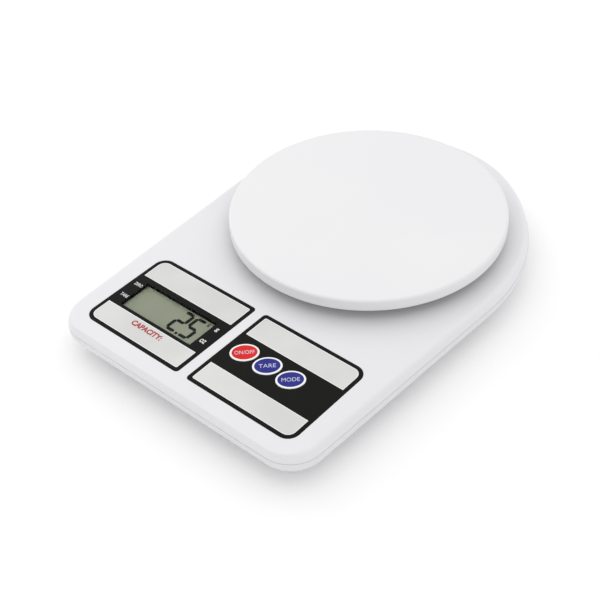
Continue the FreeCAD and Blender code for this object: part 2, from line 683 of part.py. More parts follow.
def make_load_cell():
    """Aluminium bending beam with a double-eye cut-out, its potting, screws and stop."""
    body = new_body("CellBody")
    sketch = sketch_on(body, "CellOutline", offset=cell_bottom)
    rectangle(sketch, (middle_x, platter_y), (size.cell_width, size.cell_length))
    doc.recompute()
    pad(body, "CellBar", sketch, size.cell_height)
    middle_z = cell_bottom + size.cell_height / 2
    eyes = [rod_along_x("CellEye", (-size.cell_width, platter_y + side * size.cell_eye_spacing / 2, middle_z),
                        size.cell_eye_radius, 2 * size.cell_width) for side in (-1, 1)]
    eyes.append(block("CellSlot", (middle_x, platter_y), middle_z - size.cell_slot_height / 2,
                      (2 * size.cell_width, size.cell_eye_spacing, size.cell_slot_height)))
    holes = [rod("CellThread", spot, cell_bottom - OVERRUN, size.cell_screw_radius + size.screw_gap,
                 size.cell_height + 2 * OVERRUN) for spot in fixed_screws + free_screws]
    keep("load_cell", cut("LoadCell", body, eyes + holes))
    keep("gauge_potting", block("GaugePotting", (middle_x, platter_y), cell_top,
                                (size.cell_width - 2 * size.potting_margin,
                                 size.cell_eye_spacing + 2 * size.potting_reach, size.potting_thickness)))
    screws = [screw("CellScrew", spot, cell_head_top - size.cell_head_height, size.cell_head_radius,
                    size.cell_head_height, size.cell_screw_radius, cell_top - size.cell_tip_gap - cell_head_top)
              for spot in fixed_screws]
    keep("load_cell_screws", fuse("CellScrews", screws))
    stop_bottom = cell_bottom - size.overload_gap - size.stop_height
    keep("overload_stop", rod("OverloadStop", (middle_x, free_end_y), stop_bottom, size.stop_radius,
                              size.stop_height))


def make_holder():
    """Round holder plate on a post that stands on the free end of the load cell."""
    plate = rod("HolderPlate", (middle_x, platter_y), holder_under, size.holder_radius, size.holder_thickness)
    post = block("HolderPost", (middle_x, free_end_y), cell_top,
                 (size.post_width, size.post_length, holder_top - cell_top))
    removed = [rod("HolderHole", spot, cell_top - OVERRUN, size.cell_screw_radius + size.running_gap,
                   holder_top - cell_top + 2 * OVERRUN) for spot in free_screws]
    removed += [rod("HolderBore", spot, holder_head_seat, size.cell_head_radius + size.bore_gap,
                    holder_top - holder_head_seat + OVERRUN) for spot in free_screws]
    removed += [rod("PlatterHole", spot, holder_under - OVERRUN, size.platter_screw_radius + size.running_gap,
                    size.holder_thickness + 2 * OVERRUN) for spot in platter_screws]
    keep("platter_holder", cut("Holder", fuse("HolderSolid", [plate, post]), removed))
    screws = [screw("HolderScrew", spot, holder_head_seat, size.cell_head_radius, size.cell_head_height,
                    size.cell_screw_radius, holder_head_seat - cell_top + size.holder_screw_grip, down=True)
              for spot in free_screws]
    keep("holder_screws", fuse("HolderScrews", screws))
    screws = [screw("PlatterScrew", spot, holder_under - size.platter_head_height, size.platter_head_radius,
                    size.platter_head_height, size.platter_screw_radius,
                    size.holder_thickness + size.holder_drop - size.platter_tip_gap) for spot in platter_screws]
    keep("platter_screws", fuse("PlatterScrews", screws))


def make_platter():
    """Shallow round tray turned upside down, with a ring rib and four screw bosses."""
    body = new_body("PlatterBody")
    sketch = sketch_on(body, "PlatterSection", "XZ_Plane", offset=-platter_y)
    inner = size.platter_radius - size.platter_wall
    ring_out = size.rib_ring_radius + size.rib_width
    rib_bottom = plate_under - size.rib_depth
    polygon(sketch, ((middle_x, plate_under), (size.rib_ring_radius, plate_under),
                     (size.rib_ring_radius, rib_bottom), (ring_out, rib_bottom), (ring_out, plate_under),
                     (inner, plate_under), (inner, rim_bottom), (size.platter_radius, rim_bottom),
                     (size.platter_radius, platter_top), (middle_x, platter_top)))
    doc.recompute()
    turned = body.newObject("PartDesign::Revolution", "PlatterTurned")
    turned.Profile = sketch
    turned.ReferenceAxis = (sketch, ["V_Axis"])
    turned.Angle = 360
    doc.recompute()
    top = platter_top.number
    rim = size.platter_radius.number

    def outer_circle(edge):
        return isinstance(edge.Curve, Part.Circle) and abs(edge.Curve.Radius - rim) < 0.01

    edge_top = round_edges(body, "PlatterTopEdge", turned,
                           lambda edge: outer_circle(edge) and abs(edge.Curve.Center.z - top) < 0.01,
                           size.platter_edge_radius)
    round_edges(body, "PlatterRimEdge", edge_top,
                lambda edge: outer_circle(edge) and abs(edge.Curve.Center.z - rim_bottom.number) < 0.01,
                size.rim_edge_radius)
    bosses = [rod("PlatterBoss", spot, holder_top, size.platter_boss_radius, size.holder_drop + JOIN_DEPTH)
              for spot in platter_screws]
    pilot = size.holder_drop - size.platter_tip_gap + size.running_gap + OVERRUN
    holes = [rod("PlatterPilot", spot, holder_top - OVERRUN, size.platter_screw_radius + size.screw_gap, pilot)
             for spot in platter_screws]
    keep("platter", cut("Platter", fuse("PlatterSolid", [body] + bosses), holes))


# ---------- battery bay ----------

def make_batteries():
    """Two cells laid head to tail, with a contact plate and a spring for each."""
    half = bay_length / 2
    nub_tip = half - size.contact_thickness
    barrel = size.battery_length - size.battery_nub
    tall = 2 * (size.battery_radius - size.contact_inset)
    plate = (size.contact_thickness, tall, tall)
    plate_x = half - size.contact_thickness / 2
    plates, springs = [], []
    for index, side in enumerate((-1, 1)):
        y = bay_y + side * battery_pitch / 2
        if side > 0:
            barrel_x, nub_x = nub_tip - size.battery_length, nub_tip - size.battery_nub
        else:
            barrel_x, nub_x = size.battery_nub - nub_tip, -nub_tip
        pieces = [rod_along_x("Barrel", (barrel_x, y, battery_z), size.battery_radius, barrel),
                  rod_along_x("Nub", (nub_x, y, battery_z), size.battery_nub_radius, size.battery_nub)]
        keep(f"battery_{index + 1}", fuse(f"Battery{index + 1}", pieces))
        plates.append(block("PlusPlate", (side * plate_x, y), battery_z - tall / 2, plate))
        springs.append(block("MinusPlate", (-side * plate_x, y), battery_z - tall / 2, plate))
        springs.append(make_spring(f"Coil{index + 1}", -side, y))
    keep("battery_contacts", fuse("BatteryContacts", plates))
    keep("battery_springs", fuse("BatterySprings", springs))


def make_spring(name, side, y):
    """Coil spring from the bay's end plate to the flat end of a cell."""
    wire = size.spring_wire_radius.number
    start = bay_length.number / 2 - size.contact_thickness.number
    length = size.battery_spring_length.number - 2 * wire
    helix = Part.makeHelix(length / SPRING_TURNS, length, size.battery_radius.number - size.spring_inset.number)
    mouth = helix.Vertexes[0].Point
    ring = Part.Wire(Part.makeCircle(wire, mouth, Vector(0, 1, 0)))
    coil = Part.Wire(helix.Edges).makePipeShell([ring], True, True)
    item = doc.addObject("Part::Feature", name)
    item.Shape = coil
    turn = FreeCAD.Rotation(Vector(0, 1, 0), -90 * side)
    place_at = Vector(side * (start - wire + size.spring_bite.number), y.number, battery_z.number)
    item.Placement = FreeCAD.Placement(place_at, turn)
    return item


def make_door():
    """Battery door with two hooks on its front edge and a latch tongue on its rear edge."""
    thickness = size.floor_wall - size.door_inner_gap
    inner_face = size.floor_height + thickness
    tab_bottom = floor_top + size.tab_lift
    tab_rear = door_front + size.hook_setback
    tab_front = door_front - size.door_tab_length
    pieces = [block("DoorPlate", (middle_x, bay_y), size.floor_height, (door_length, door_depth, thickness))]
    for x, y in both_sides(hook_x, (tab_front + tab_rear) / 2):
        foot_sides = (size.door_tab_width, size.hook_thickness, tab_bottom + size.tab_thickness - inner_face)
        pieces.append(block("HookFoot", (x, tab_rear - size.hook_thickness / 2), inner_face, foot_sides))
        tab_sides = (size.door_tab_width, tab_rear - tab_front, size.tab_thickness)
        pieces.append(block("HookTab", (x, y), tab_bottom, tab_sides))
    tongue_front = door_rear - JOIN_DEPTH
    tongue_rear = door_rear + size.latch_reach
    tongue_bottom = size.floor_height + size.latch_lift
    tongue_top = inner_face - size.latch_inner_gap
    tongue_sides = (size.latch_width, tongue_rear - tongue_front, tongue_top - tongue_bottom)
    pieces.append(block("LatchTongue", (middle_x, (tongue_front + tongue_rear) / 2), tongue_bottom,
                        tongue_sides))
    keep("battery_door", fuse("BatteryDoor", pieces))


# ---------- feet and case screws ----------

def make_feet():
    """Four soft feet seated in shallow recesses."""
    for name, spot in feet.items():
        keep(f"foot_{name}", rod(f"Foot_{name}", spot, 0, size.foot_radius,
                                 size.floor_height + size.foot_recess))


def make_case_screws():
    """Screws that hold the lid to the tray."""
    screws = [screw("CaseScrew", spot, case_head_top - size.case_head_height, size.case_head_radius,
                    size.case_head_height, size.case_screw_radius,
                    size.case_boss_split + size.case_screw_grip - case_head_top) for spot in case_screws]
    keep("case_screws", fuse("CaseScrews", screws))


make_lower_shell()
make_upper_shell()
make_labels()
make_keys()
make_electronics()
make_load_cell()
make_holder()
make_platter()
make_batteries()
make_door()
make_feet()
make_case_screws()
doc.recompute()

for item in doc.Objects:
    if "Invalid" in item.State or "Error" in item.State:
        raise RuntimeError(f"{item.Name} failed: {item.State}")
for node, item in nodes.items():
    if item.Shape.isNull() or not item.Shape.isValid():
        raise RuntimeError(f"{node} has no valid shape")

os.makedirs("parts", exist_ok=True)
for node, item in nodes.items():
    item.Shape.exportStep(f"parts/{node}.step")
    box = item.Shape.BoundBox
    print(f"{node:18} solids {len(item.Shape.Solids)}  volume {item.Shape.Volume:10.1f}  "
          f"z {box.ZMin:6.2f} to {box.ZMax:6.2f}")
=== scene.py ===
import math
import bmesh
import bpy
from mathutils import Matrix, Vector


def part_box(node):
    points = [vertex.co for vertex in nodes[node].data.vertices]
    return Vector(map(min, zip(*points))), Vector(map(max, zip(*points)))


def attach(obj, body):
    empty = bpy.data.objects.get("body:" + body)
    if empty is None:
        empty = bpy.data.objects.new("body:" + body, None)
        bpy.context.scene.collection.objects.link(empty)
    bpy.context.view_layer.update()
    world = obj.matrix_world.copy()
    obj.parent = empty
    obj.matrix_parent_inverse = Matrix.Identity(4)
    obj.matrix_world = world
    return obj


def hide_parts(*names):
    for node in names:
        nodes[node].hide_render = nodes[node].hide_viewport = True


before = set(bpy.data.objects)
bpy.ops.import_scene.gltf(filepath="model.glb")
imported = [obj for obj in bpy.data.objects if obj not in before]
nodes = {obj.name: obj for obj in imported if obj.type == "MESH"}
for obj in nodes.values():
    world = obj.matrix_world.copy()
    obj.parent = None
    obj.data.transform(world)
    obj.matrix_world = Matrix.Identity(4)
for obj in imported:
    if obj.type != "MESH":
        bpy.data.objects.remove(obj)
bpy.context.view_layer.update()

scene = bpy.context.scene
MM = 0.001


# ---------- Studio: pale floor, broad soft light, camera before the keypad corner ----------
# A white table under one large softbox, a small one at the left and a white room, so that the
# white case reads by its own gentle shading and leaves a soft shadow round its foot.


def box_of(node):
    """Lowest and highest corner of a CAD node, in millimetres."""
    return [Vector(corner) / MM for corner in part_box(node)]


PLATTER_LOW, PLATTER_HIGH = box_of("platter")
PLATTER_MIDDLE = (PLATTER_LOW + PLATTER_HIGH) / 2
PLATTER_TOP = PLATTER_HIGH.z
CAMERA_AZIMUTH = math.radians(42.68)
CAMERA_ELEVATION = math.radians(41.75)
CAMERA_ROLL = math.radians(-2.97)
CAMERA_DISTANCE = 604.9
CAMERA_LENS_MM = 75.35
CAMERA_AIM = Vector((PLATTER_MIDDLE.x + 19.07, PLATTER_MIDDLE.y - 76.72, PLATTER_TOP))
FLOOR_SIDE_M = 12
ROOM_LIGHT = 0.88

camera_data = bpy.data.cameras.new("camera")
camera_data.lens = CAMERA_LENS_MM
camera_data.sensor_width = 36
camera = bpy.data.objects.new("camera", camera_data)
scene.collection.objects.link(camera)
level = math.cos(CAMERA_ELEVATION)
away = Vector((math.sin(CAMERA_AZIMUTH) * level, -math.cos(CAMERA_AZIMUTH) * level,
               math.sin(CAMERA_ELEVATION)))
camera.location = (CAMERA_AIM + away * CAMERA_DISTANCE) * MM
aim_turn = (-away).to_track_quat("-Z", "Y").to_matrix()
camera.rotation_euler = (aim_turn @ Matrix.Rotation(CAMERA_ROLL, 3, "Z")).to_euler()
scene.camera = camera


def add_lamp(name, place, target, size_m, watts):
    """Square soft lamp at place, turned towards target."""
    data = bpy.data.lights.new(name, "AREA")
    data.size = size_m
    data.energy = watts
    lamp = bpy.data.objects.new(name, data)
    lamp.location = place
    lamp.rotation_euler = (Vector(target) - Vector(place)).to_track_quat("-Z", "Y").to_euler()
    scene.collection.objects.link(lamp)


add_lamp("overhead_softbox", place=(-0.15, 0.25, 1.1), target=(0, 0, 0), size_m=2.0, watts=4.1)
add_lamp("left_softbox", place=(-0.9, 0, 0.5), target=(0, 0, 0.02), size_m=0.8, watts=1.0)

world = bpy.data.worlds.new("white_room")
scene.world = world
world.use_nodes = True
world.node_tree.nodes["Background"].inputs["Color"].default_value = (1, 1, 1, 1)
world.node_tree.nodes["Background"].inputs["Strength"].default_value = ROOM_LIGHT
scene.view_settings.view_transform = "Standard"


def srgb(code):
    """Linear colour of a #RRGGBB code."""
    parts = [int(code[index:index + 2], 16) / 255 for index in (1, 3, 5)]
    return (*(part / 12.92 if part <= 0.04045 else ((part + 0.055) / 1.055) ** 2.4 for part in parts), 1)


def add_node(tree, kind, values=None, links=None, **settings):
    """One node with its settings, its socket values and its incoming links."""
    node = tree.nodes.new(kind)
    for key, value in settings.items():
        setattr(node, key, value)
    for socket, value in (values or {}).items():
        node.inputs[socket].default_value = value
    for socket, source in (links or {}).items():
        tree.links.new(source, node.inputs[socket])
    return node


def new_material(name, **sockets):
    """A material with constant values set on its shader's own sockets."""
    material = bpy.data.materials.new(name)
    material.use_nodes = True
    shader = material.node_tree.nodes["Principled BSDF"]
    for socket, value in sockets.items():
        shader.inputs[socket.replace("_", " ")].default_value = value
    return material


TONE_STOPS = (0.35, 0.65)
BUMP_STRENGTH = 0.5


def add_grain(material, size_mm, depth_mm, rough, tones, patch_mm, stretch=(1, 1, 1)):
    """Surface grain: a fine bump, roughness that varies with it and a slow drift between two tones."""
    tree = material.node_tree
    shader = tree.nodes["Principled BSDF"]
    place = add_node(tree, "ShaderNodeTexCoord")
    turned = add_node(tree, "ShaderNodeMapping", {"Scale": stretch}, {"Vector": place.outputs["Object"]})
    fine = add_node(tree, "ShaderNodeTexNoise", {"Scale": 1 / (size_mm * MM), "Detail": 3},
                    {"Vector": turned.outputs["Vector"]})
    gloss = add_node(tree, "ShaderNodeMapRange", {"To Min": rough[0], "To Max": rough[1]},
                     {"Value": fine.outputs["Fac"]})
    tree.links.new(gloss.outputs["Result"], shader.inputs["Roughness"])
    bump = add_node(tree, "ShaderNodeBump", {"Strength": BUMP_STRENGTH, "Distance": depth_mm * MM},
                    {"Height": fine.outputs["Fac"]})
    tree.links.new(bump.outputs["Normal"], shader.inputs["Normal"])
    slow = add_node(tree, "ShaderNodeTexNoise", {"Scale": 1 / (patch_mm * MM), "Detail": 2},
                    {"Vector": turned.outputs["Vector"]})
    drift = add_node(tree, "ShaderNodeValToRGB", links={"Fac": slow.outputs["Fac"]})
    for element, position, tone in zip(drift.color_ramp.elements, TONE_STOPS, tones):
        element.position = position
        element.color = srgb(tone)
    tree.links.new(drift.outputs["Color"], shader.inputs["Base Color"])


# Painted board: the sheet under the scale, pale and matt, with a faint unevenness of the paint.
table_paint = new_material("matt_white_table_paint", IOR=1.45)
add_grain(table_paint, 4, 0.01, (0.75, 0.85), ("#FEFEFE", "#FDFDFD"), 400)
floor_mesh = bpy.data.meshes.new("table")
floor_mesh.from_pydata([(x * FLOOR_SIDE_M / 2, y * FLOOR_SIDE_M / 2, 0)
                        for x, y in ((-1, -1), (1, -1), (1, 1), (-1, 1))], [], [(0, 1, 2, 3)])
floor_mesh.materials.append(table_paint)
floor = bpy.data.objects.new("table", floor_mesh)
scene.collection.objects.link(floor)


# ---------- Lid: the upper case moulding with the deck ----------
# The real lid is injection moulded in white ABS, with a drafted side wall, a softer front
# edge and a thin shadow groove where it closes on the tray. It is screwed on from below.

CREASE = math.radians(32)
LID_LOW, LID_HIGH = box_of("upper_shell")
FRONT_EDGE = LID_LOW.y
REAR_EDGE = LID_HIGH.y
# The lid's lowest points are its screw posts; the seam is the foot of its outer wall, which alone
# reaches this share of the half width.
WALL_ZONE = 0.9
SEAM = min(vertex.co.z for vertex in nodes["upper_shell"].data.vertices
           if abs(vertex.co.x) > LID_HIGH.x * WALL_ZONE * MM) / MM
DECK = LID_HIGH.z
SIDE_OFFSET = 83.8
SIDE_FLARE = math.radians(2.15)
FRONT_CORNER_RADIUS = 18.0
SHOULDER_RADIUS = 100.0
APEX_RADIUS = 70.0
LID_WALL = 2.6
DECK_THICKNESS = 2.0
LID_GROOVE = 0.35
SIDE_DRAFT = math.radians(18.3)
SIDE_ROUND_RADIUS = 3.1
SIDE_DECK_INSET = 3.9
FRONT_DECK_INSET = 1.6
LID_CAVITY_DRAFT = 2.2
ROUND_STEPS = 10
WALL_STEPS = 3
CORNER_STEPS = 20
SHOULDER_STEPS = 40
APEX_STEPS = 24
SAME_POINT = 0.001
# A further ring this far from an edge keeps the flat face beside it evenly shaded.
EDGE_MARGIN = 1.0
# How far a cutter reaches past the faces that it opens.
CUT_OVERRUN = 1.0
CUT_CORNER = 0.3


def smooth_step(share):
    """Ease from 0 to 1."""
    return share * share * (3 - 2 * share)


def case_points():
    """Plan outline of the case: point, outward direction and how much it belongs to the front.

    Anticlockwise from the left end of the straight front.
    """
    outward = Vector((math.cos(SIDE_FLARE), -math.sin(SIDE_FLARE)))
    along = Vector((math.sin(SIDE_FLARE), math.cos(SIDE_FLARE)))
    corner_y = FRONT_EDGE + FRONT_CORNER_RADIUS
    corner_x = (SIDE_OFFSET - FRONT_CORNER_RADIUS + corner_y * math.sin(SIDE_FLARE)) / math.cos(SIDE_FLARE)
    apex = Vector((0, REAR_EDGE - APEX_RADIUS))
    start = outward * (SIDE_OFFSET - SHOULDER_RADIUS)
    reach = start - apex
    run = along.dot(reach)
    step = SHOULDER_RADIUS - APEX_RADIUS
    shoulder = start + along * (-run - math.sqrt(run ** 2 - reach.length_squared + step ** 2))
    meet = math.atan2(apex.y - shoulder.y, apex.x - shoulder.x)
    arcs = ((Vector((corner_x, corner_y)), FRONT_CORNER_RADIUS, -math.pi / 2, -SIDE_FLARE,
             CORNER_STEPS, True),
            (shoulder, SHOULDER_RADIUS, -SIDE_FLARE, meet, SHOULDER_STEPS, False),
            (apex, APEX_RADIUS, meet, math.pi / 2, APEX_STEPS, False))
    half = []
    for centre, radius, first, last, count, front in arcs:
        for index in range(count + 1):
            share = index / count
            angle = first + (last - first) * share
            way = Vector((math.cos(angle), math.sin(angle)))
            half.append((centre + way * radius, way, 1 - smooth_step(share) if front else 0.0))
    left = [(Vector((-spot.x, spot.y)), Vector((-way.x, way.y)), front) for spot, way, front in half[-2::-1]]
    points = half + left
    kept = [points[0]]
    for point in points[1:]:
        if (point[0] - kept[-1][0]).length > SAME_POINT:
            kept.append(point)
    return kept


OUTLINE = case_points()


def case_ring(side, front=None):
    """One ring of points round the case, from (inset, height) at the sides and at the front."""
    front = front or side
    ring = []
    for spot, way, share in OUTLINE:
        inset = side[0] + (front[0] - side[0]) * share
        height = side[1] + (front[1] - side[1]) * share
        ring.append(Vector((*(spot - way * inset), height)))
    return ring


def loft(mesh, rings, finishes=None):
    """Skin a closed solid through rings of points and cap both ends; finishes holds material numbers."""
    rows = [[mesh.verts.new(point) for point in ring] for ring in rings]
    count = len(rows[0])
    for number, (near, far) in enumerate(zip(rows, rows[1:])):
        for index in range(count):
            after = (index + 1) % count
            face = mesh.faces.new((near[index], near[after], far[after], far[index]))
            face.material_index = finishes[number] if finishes else 0
    mesh.faces.new(reversed(rows[0]))
    mesh.faces.new(rows[-1]).material_index = finishes[-1] if finishes else 0


def piece_from(mesh, name, *materials):
    """Turn a bmesh drawn in millimetres into an object in metres, smooth between crisp corners."""
    bmesh.ops.scale(mesh, vec=(MM, MM, MM), verts=mesh.verts)
    data = bpy.data.meshes.new(name)
    mesh.to_mesh(data)
    mesh.free()
    for material in materials:
        data.materials.append(material)
    data.shade_smooth()
    data.set_sharp_from_angle(angle=CREASE)
    piece = bpy.data.objects.new(name, data)
    scene.collection.objects.link(piece)
    return piece


def settle(piece):
    """Replace a piece's mesh by what its modifiers make of it."""
    bpy.context.view_layer.update()
    made = bpy.data.meshes.new_from_object(piece.evaluated_get(bpy.context.evaluated_depsgraph_get()))
    piece.modifiers.clear()
    piece.data = made
    made.shade_smooth()
    made.set_sharp_from_angle(angle=CREASE)


def carve(piece, cutter_mesh):
    """Take a closed cutter, drawn in millimetres, out of a piece."""
    cutter = piece_from(cutter_mesh, piece.name + "_cutter")
    modifier = piece.modifiers.new("carve", "BOOLEAN")
    modifier.operation = "DIFFERENCE"
    modifier.solver = "MANIFOLD"
    modifier.object = cutter
    settle(piece)
    bpy.data.objects.remove(cutter)


def rounded_rectangle(low, high, height, radii, steps=8):
    """Ring round a rectangle; radii go front left, front right, rear right, rear left."""
    corners = ((low[0], low[1], 1, 1, 180), (high[0], low[1], -1, 1, 270),
               (high[0], high[1], -1, -1, 0), (low[0], high[1], 1, -1, 90))
    ring = []
    for (x, y, inward_x, inward_y, first), radius in zip(corners, radii):
        for index in range(steps + 1):
            angle = math.radians(first + 90 * index / steps)
            ring.append(Vector((x + inward_x * radius + radius * math.cos(angle),
                                y + inward_y * radius + radius * math.sin(angle), height)))
    return ring


def oval_ring(middle, major, minor, tilt, height, steps=72):
    """Ring round an ellipse whose long axis is turned by the tilt."""
    ring = []
    for index in range(steps):
        angle = 2 * math.pi * index / steps
        x, y = major * math.cos(angle), minor * math.sin(angle)
        ring.append(Vector((middle[0] + x * math.cos(tilt) - y * math.sin(tilt),
                            middle[1] + x * math.sin(tilt) + y * math.cos(tilt), height)))
    return ring


side_round_height = SIDE_ROUND_RADIUS * (1 - math.sin(SIDE_DRAFT))
side_wall_top = (SIDE_DECK_INSET - SIDE_ROUND_RADIUS * math.cos(SIDE_DRAFT), DECK - side_round_height)
outer_steps = []
for index in range(WALL_STEPS):
    share = (index + 1) / (WALL_STEPS + 1)
    side = (side_wall_top[0] * share, SEAM + (side_wall_top[1] - SEAM) * share)
    turn = math.pi / 2 * share * WALL_STEPS / (WALL_STEPS + ROUND_STEPS)
    front = (FRONT_DECK_INSET * (1 - math.cos(turn)), SEAM + (DECK - SEAM) * math.sin(turn))
    outer_steps.append((side, front))
for index in range(ROUND_STEPS + 1):
    angle = SIDE_DRAFT + (math.pi / 2 - SIDE_DRAFT) * index / ROUND_STEPS
    side = (SIDE_DECK_INSET - SIDE_ROUND_RADIUS * math.cos(angle),
            DECK - SIDE_ROUND_RADIUS * (1 - math.sin(angle)))
    turn = math.pi / 2 * (WALL_STEPS + index) / (WALL_STEPS + ROUND_STEPS)
    front = (FRONT_DECK_INSET * (1 - math.cos(turn)), SEAM + (DECK - SEAM) * math.sin(turn))
    outer_steps.append((side, front))

lid_rings = [case_ring((LID_WALL + LID_CAVITY_DRAFT, DECK - DECK_THICKNESS)), case_ring((LID_WALL, SEAM)),
             case_ring((LID_GROOVE, SEAM)), case_ring((LID_GROOVE, SEAM + LID_GROOVE))]
lid_rings += [case_ring(side, front) for side, front in outer_steps]
lid_rings.append(case_ring((SIDE_DECK_INSET + EDGE_MARGIN, DECK), (FRONT_DECK_INSET + EDGE_MARGIN, DECK)))
lid_mesh = bmesh.new()
loft(lid_mesh, lid_rings)

DISPLAY_LOW, DISPLAY_HIGH = box_of("display_label")
KEYPAD_LOW, KEYPAD_HIGH = box_of("keypad_label")
WINDOW_LOW, WINDOW_HIGH = box_of("display_window")
STOP_LOW, STOP_HIGH = box_of("overload_stop")
LABEL_OUTER_RADIUS = 6.5
LABEL_INNER_RADIUS = 2.0
LABEL_SEAT = DISPLAY_LOW.z
LABEL_SIDE_GAP = 0.1
WINDOW_BORDER = 0.65
POST_HOLE_SIDES = (22.0, 26.0)
KEY_MAJOR = 7.2
KEY_MINOR = 5.8
KEY_TILT = math.radians(43)
KEY_SIDE_GAP = 0.2
KEYS = ("power", "tare", "mode")
key_middles = [(low + high) / 2 for low, high in (box_of("key_" + name) for name in KEYS)]
OUTER_LEFT = (LABEL_OUTER_RADIUS, LABEL_INNER_RADIUS, LABEL_INNER_RADIUS, LABEL_OUTER_RADIUS)
OUTER_RIGHT = (LABEL_INNER_RADIUS, LABEL_OUTER_RADIUS, LABEL_OUTER_RADIUS, LABEL_INNER_RADIUS)


def prism(mesh, low, high, bottom, top, radii=(CUT_CORNER,) * 4):
    """Upright closed prism on a rounded rectangle."""
    loft(mesh, [rounded_rectangle(low, high, height, radii) for height in (bottom, top)])


def key_openings(mesh, bottom, top):
    """Upright cutters for the three oval key holes."""
    for middle in key_middles:
        loft(mesh, [oval_ring(middle, KEY_MAJOR + KEY_SIDE_GAP, KEY_MINOR + KEY_SIDE_GAP, KEY_TILT, height)
                    for height in (bottom, top)])


recesses = bmesh.new()
gap = Vector((LABEL_SIDE_GAP, LABEL_SIDE_GAP, 0))
prism(recesses, DISPLAY_LOW - gap, DISPLAY_HIGH + gap, LABEL_SEAT, DECK + CUT_OVERRUN, OUTER_LEFT)
prism(recesses, KEYPAD_LOW - gap, KEYPAD_HIGH + gap, LABEL_SEAT, DECK + CUT_OVERRUN, OUTER_RIGHT)
holes = bmesh.new()
hole_span = (DECK - DECK_THICKNESS - CUT_OVERRUN, DECK + CUT_OVERRUN)
border = Vector((WINDOW_BORDER, WINDOW_BORDER, 0))
prism(holes, WINDOW_LOW - border, WINDOW_HIGH + border, *hole_span)
stop_middle = (STOP_LOW + STOP_HIGH) / 2
post_half = Vector((*POST_HOLE_SIDES, 0)) / 2
prism(holes, stop_middle - post_half, stop_middle + post_half, *hole_span)
key_openings(holes, *hole_span)

# Injection-moulded ABS: a satin sheen from a fine spark-eroded texture. The grain of about
# 0.1 mm would not show, so it is drawn at 0.7 mm.
white_abs = new_material("moulded_white_abs", IOR=1.53)
add_grain(white_abs, 0.7, 0.0015, (0.34, 0.42), ("#E4E3E5", "#E2E1E4"), 60)
lid = piece_from(lid_mesh, "lid", white_abs)
carve(lid, recesses)
carve(lid, holes)
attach(lid, "case")
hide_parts("upper_shell")


# ---------- Tray: the lower case moulding ----------
# One boat-shaped moulding in the same white ABS, with screw wells, foot recesses and the
# battery bay. It comes from the mould with a slightly coarser texture than the lid.


def coat(material, *names):
    """Give CAD nodes that are shown as they are their material."""
    for node in names:
        nodes[node].data.materials.clear()
        nodes[node].data.materials.append(material)


# The texture of about 0.15 mm is drawn at 0.9 mm.
tray_abs = new_material("moulded_white_abs_coarse", IOR=1.53)
add_grain(tray_abs, 0.9, 0.003, (0.4, 0.5), ("#E2E1E4", "#E0DFE2"), 50)
coat(tray_abs, "lower_shell")


# ---------- Platter: the round weighing plate ----------
# A shallow tray moulded upside down in white ABS with a polished top: a rounded top edge, a
# short skirt and one ring rib below. Four screws from below hold it to its holder.

PLATTER_RADIUS = (PLATTER_HIGH.x - PLATTER_LOW.x) / 2
PLATTER_WALL = 2.2
PLATTER_EDGE = 1.5
RIM_EDGE = 0.5
RIB_RADIUS = 52.0
RIB_WIDTH = 1.6
RIB_DEPTH = 3.0
EDGE_STEPS = 8
PLATTER_FILLET = 1.5
FILLET_BEVEL = 0.4
SKIRT_BEVEL = 0.2
TOP_MARGIN = 0.6


def turned_ring(middle, radius, height, steps=192):
    """Ring of points round an upright axis."""
    angles = [2 * math.pi * index / steps for index in range(steps)]
    return [Vector((middle.x + radius * math.cos(angle), middle.y + radius * math.sin(angle), height))
            for angle in angles]


def quarter(centre, radius, first):
    """Points (radius, height) along a quarter turn that starts at an angle in degrees."""
    angles = [math.radians(first + 90 * index / EDGE_STEPS) for index in range(EDGE_STEPS + 1)]
    return [(centre[0] + radius * math.cos(angle), centre[1] + radius * math.sin(angle)) for angle in angles]


platter_under = PLATTER_TOP - PLATTER_WALL
platter_inner = PLATTER_RADIUS - PLATTER_WALL
profile = [(RIB_RADIUS - EDGE_MARGIN, platter_under), (RIB_RADIUS, platter_under),
           (RIB_RADIUS, platter_under - RIB_DEPTH), (RIB_RADIUS + RIB_WIDTH, platter_under - RIB_DEPTH),
           (RIB_RADIUS + RIB_WIDTH, platter_under), (platter_inner - PLATTER_FILLET, platter_under),
           (platter_inner - FILLET_BEVEL, platter_under - FILLET_BEVEL),
           (platter_inner, platter_under - PLATTER_FILLET), (platter_inner, PLATTER_LOW.z + SKIRT_BEVEL),
           (platter_inner + SKIRT_BEVEL, PLATTER_LOW.z)]
profile += quarter((PLATTER_RADIUS - RIM_EDGE, PLATTER_LOW.z + RIM_EDGE), RIM_EDGE, -90)
profile += quarter((PLATTER_RADIUS - PLATTER_EDGE, PLATTER_TOP - PLATTER_EDGE), PLATTER_EDGE, 0)
profile += [(PLATTER_RADIUS - PLATTER_EDGE - TOP_MARGIN, PLATTER_TOP)]
platter_mesh = bmesh.new()
loft(platter_mesh, [turned_ring(PLATTER_MIDDLE, radius, height) for radius, height in profile])

# The same ABS from a polished mould face: smoother and a little brighter than the case. Its
# faint grain is drawn at 1.2 mm.
platter_abs = new_material("polished_white_abs", IOR=1.53)
add_grain(platter_abs, 1.2, 0.0004, (0.26, 0.31), ("#E7E7E8", "#E5E5E7"), 80)
platter = piece_from(platter_mesh, "platter_dish", platter_abs)
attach(platter, "platter")
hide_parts("platter")


# ---------- Overlay labels: the display label and the keypad label ----------
# Each is a polyester sheet 0.4 mm thick, printed black with two silver panels and thin white
# lines, die-cut for the window or the keys, and stuck into its recess in the deck.

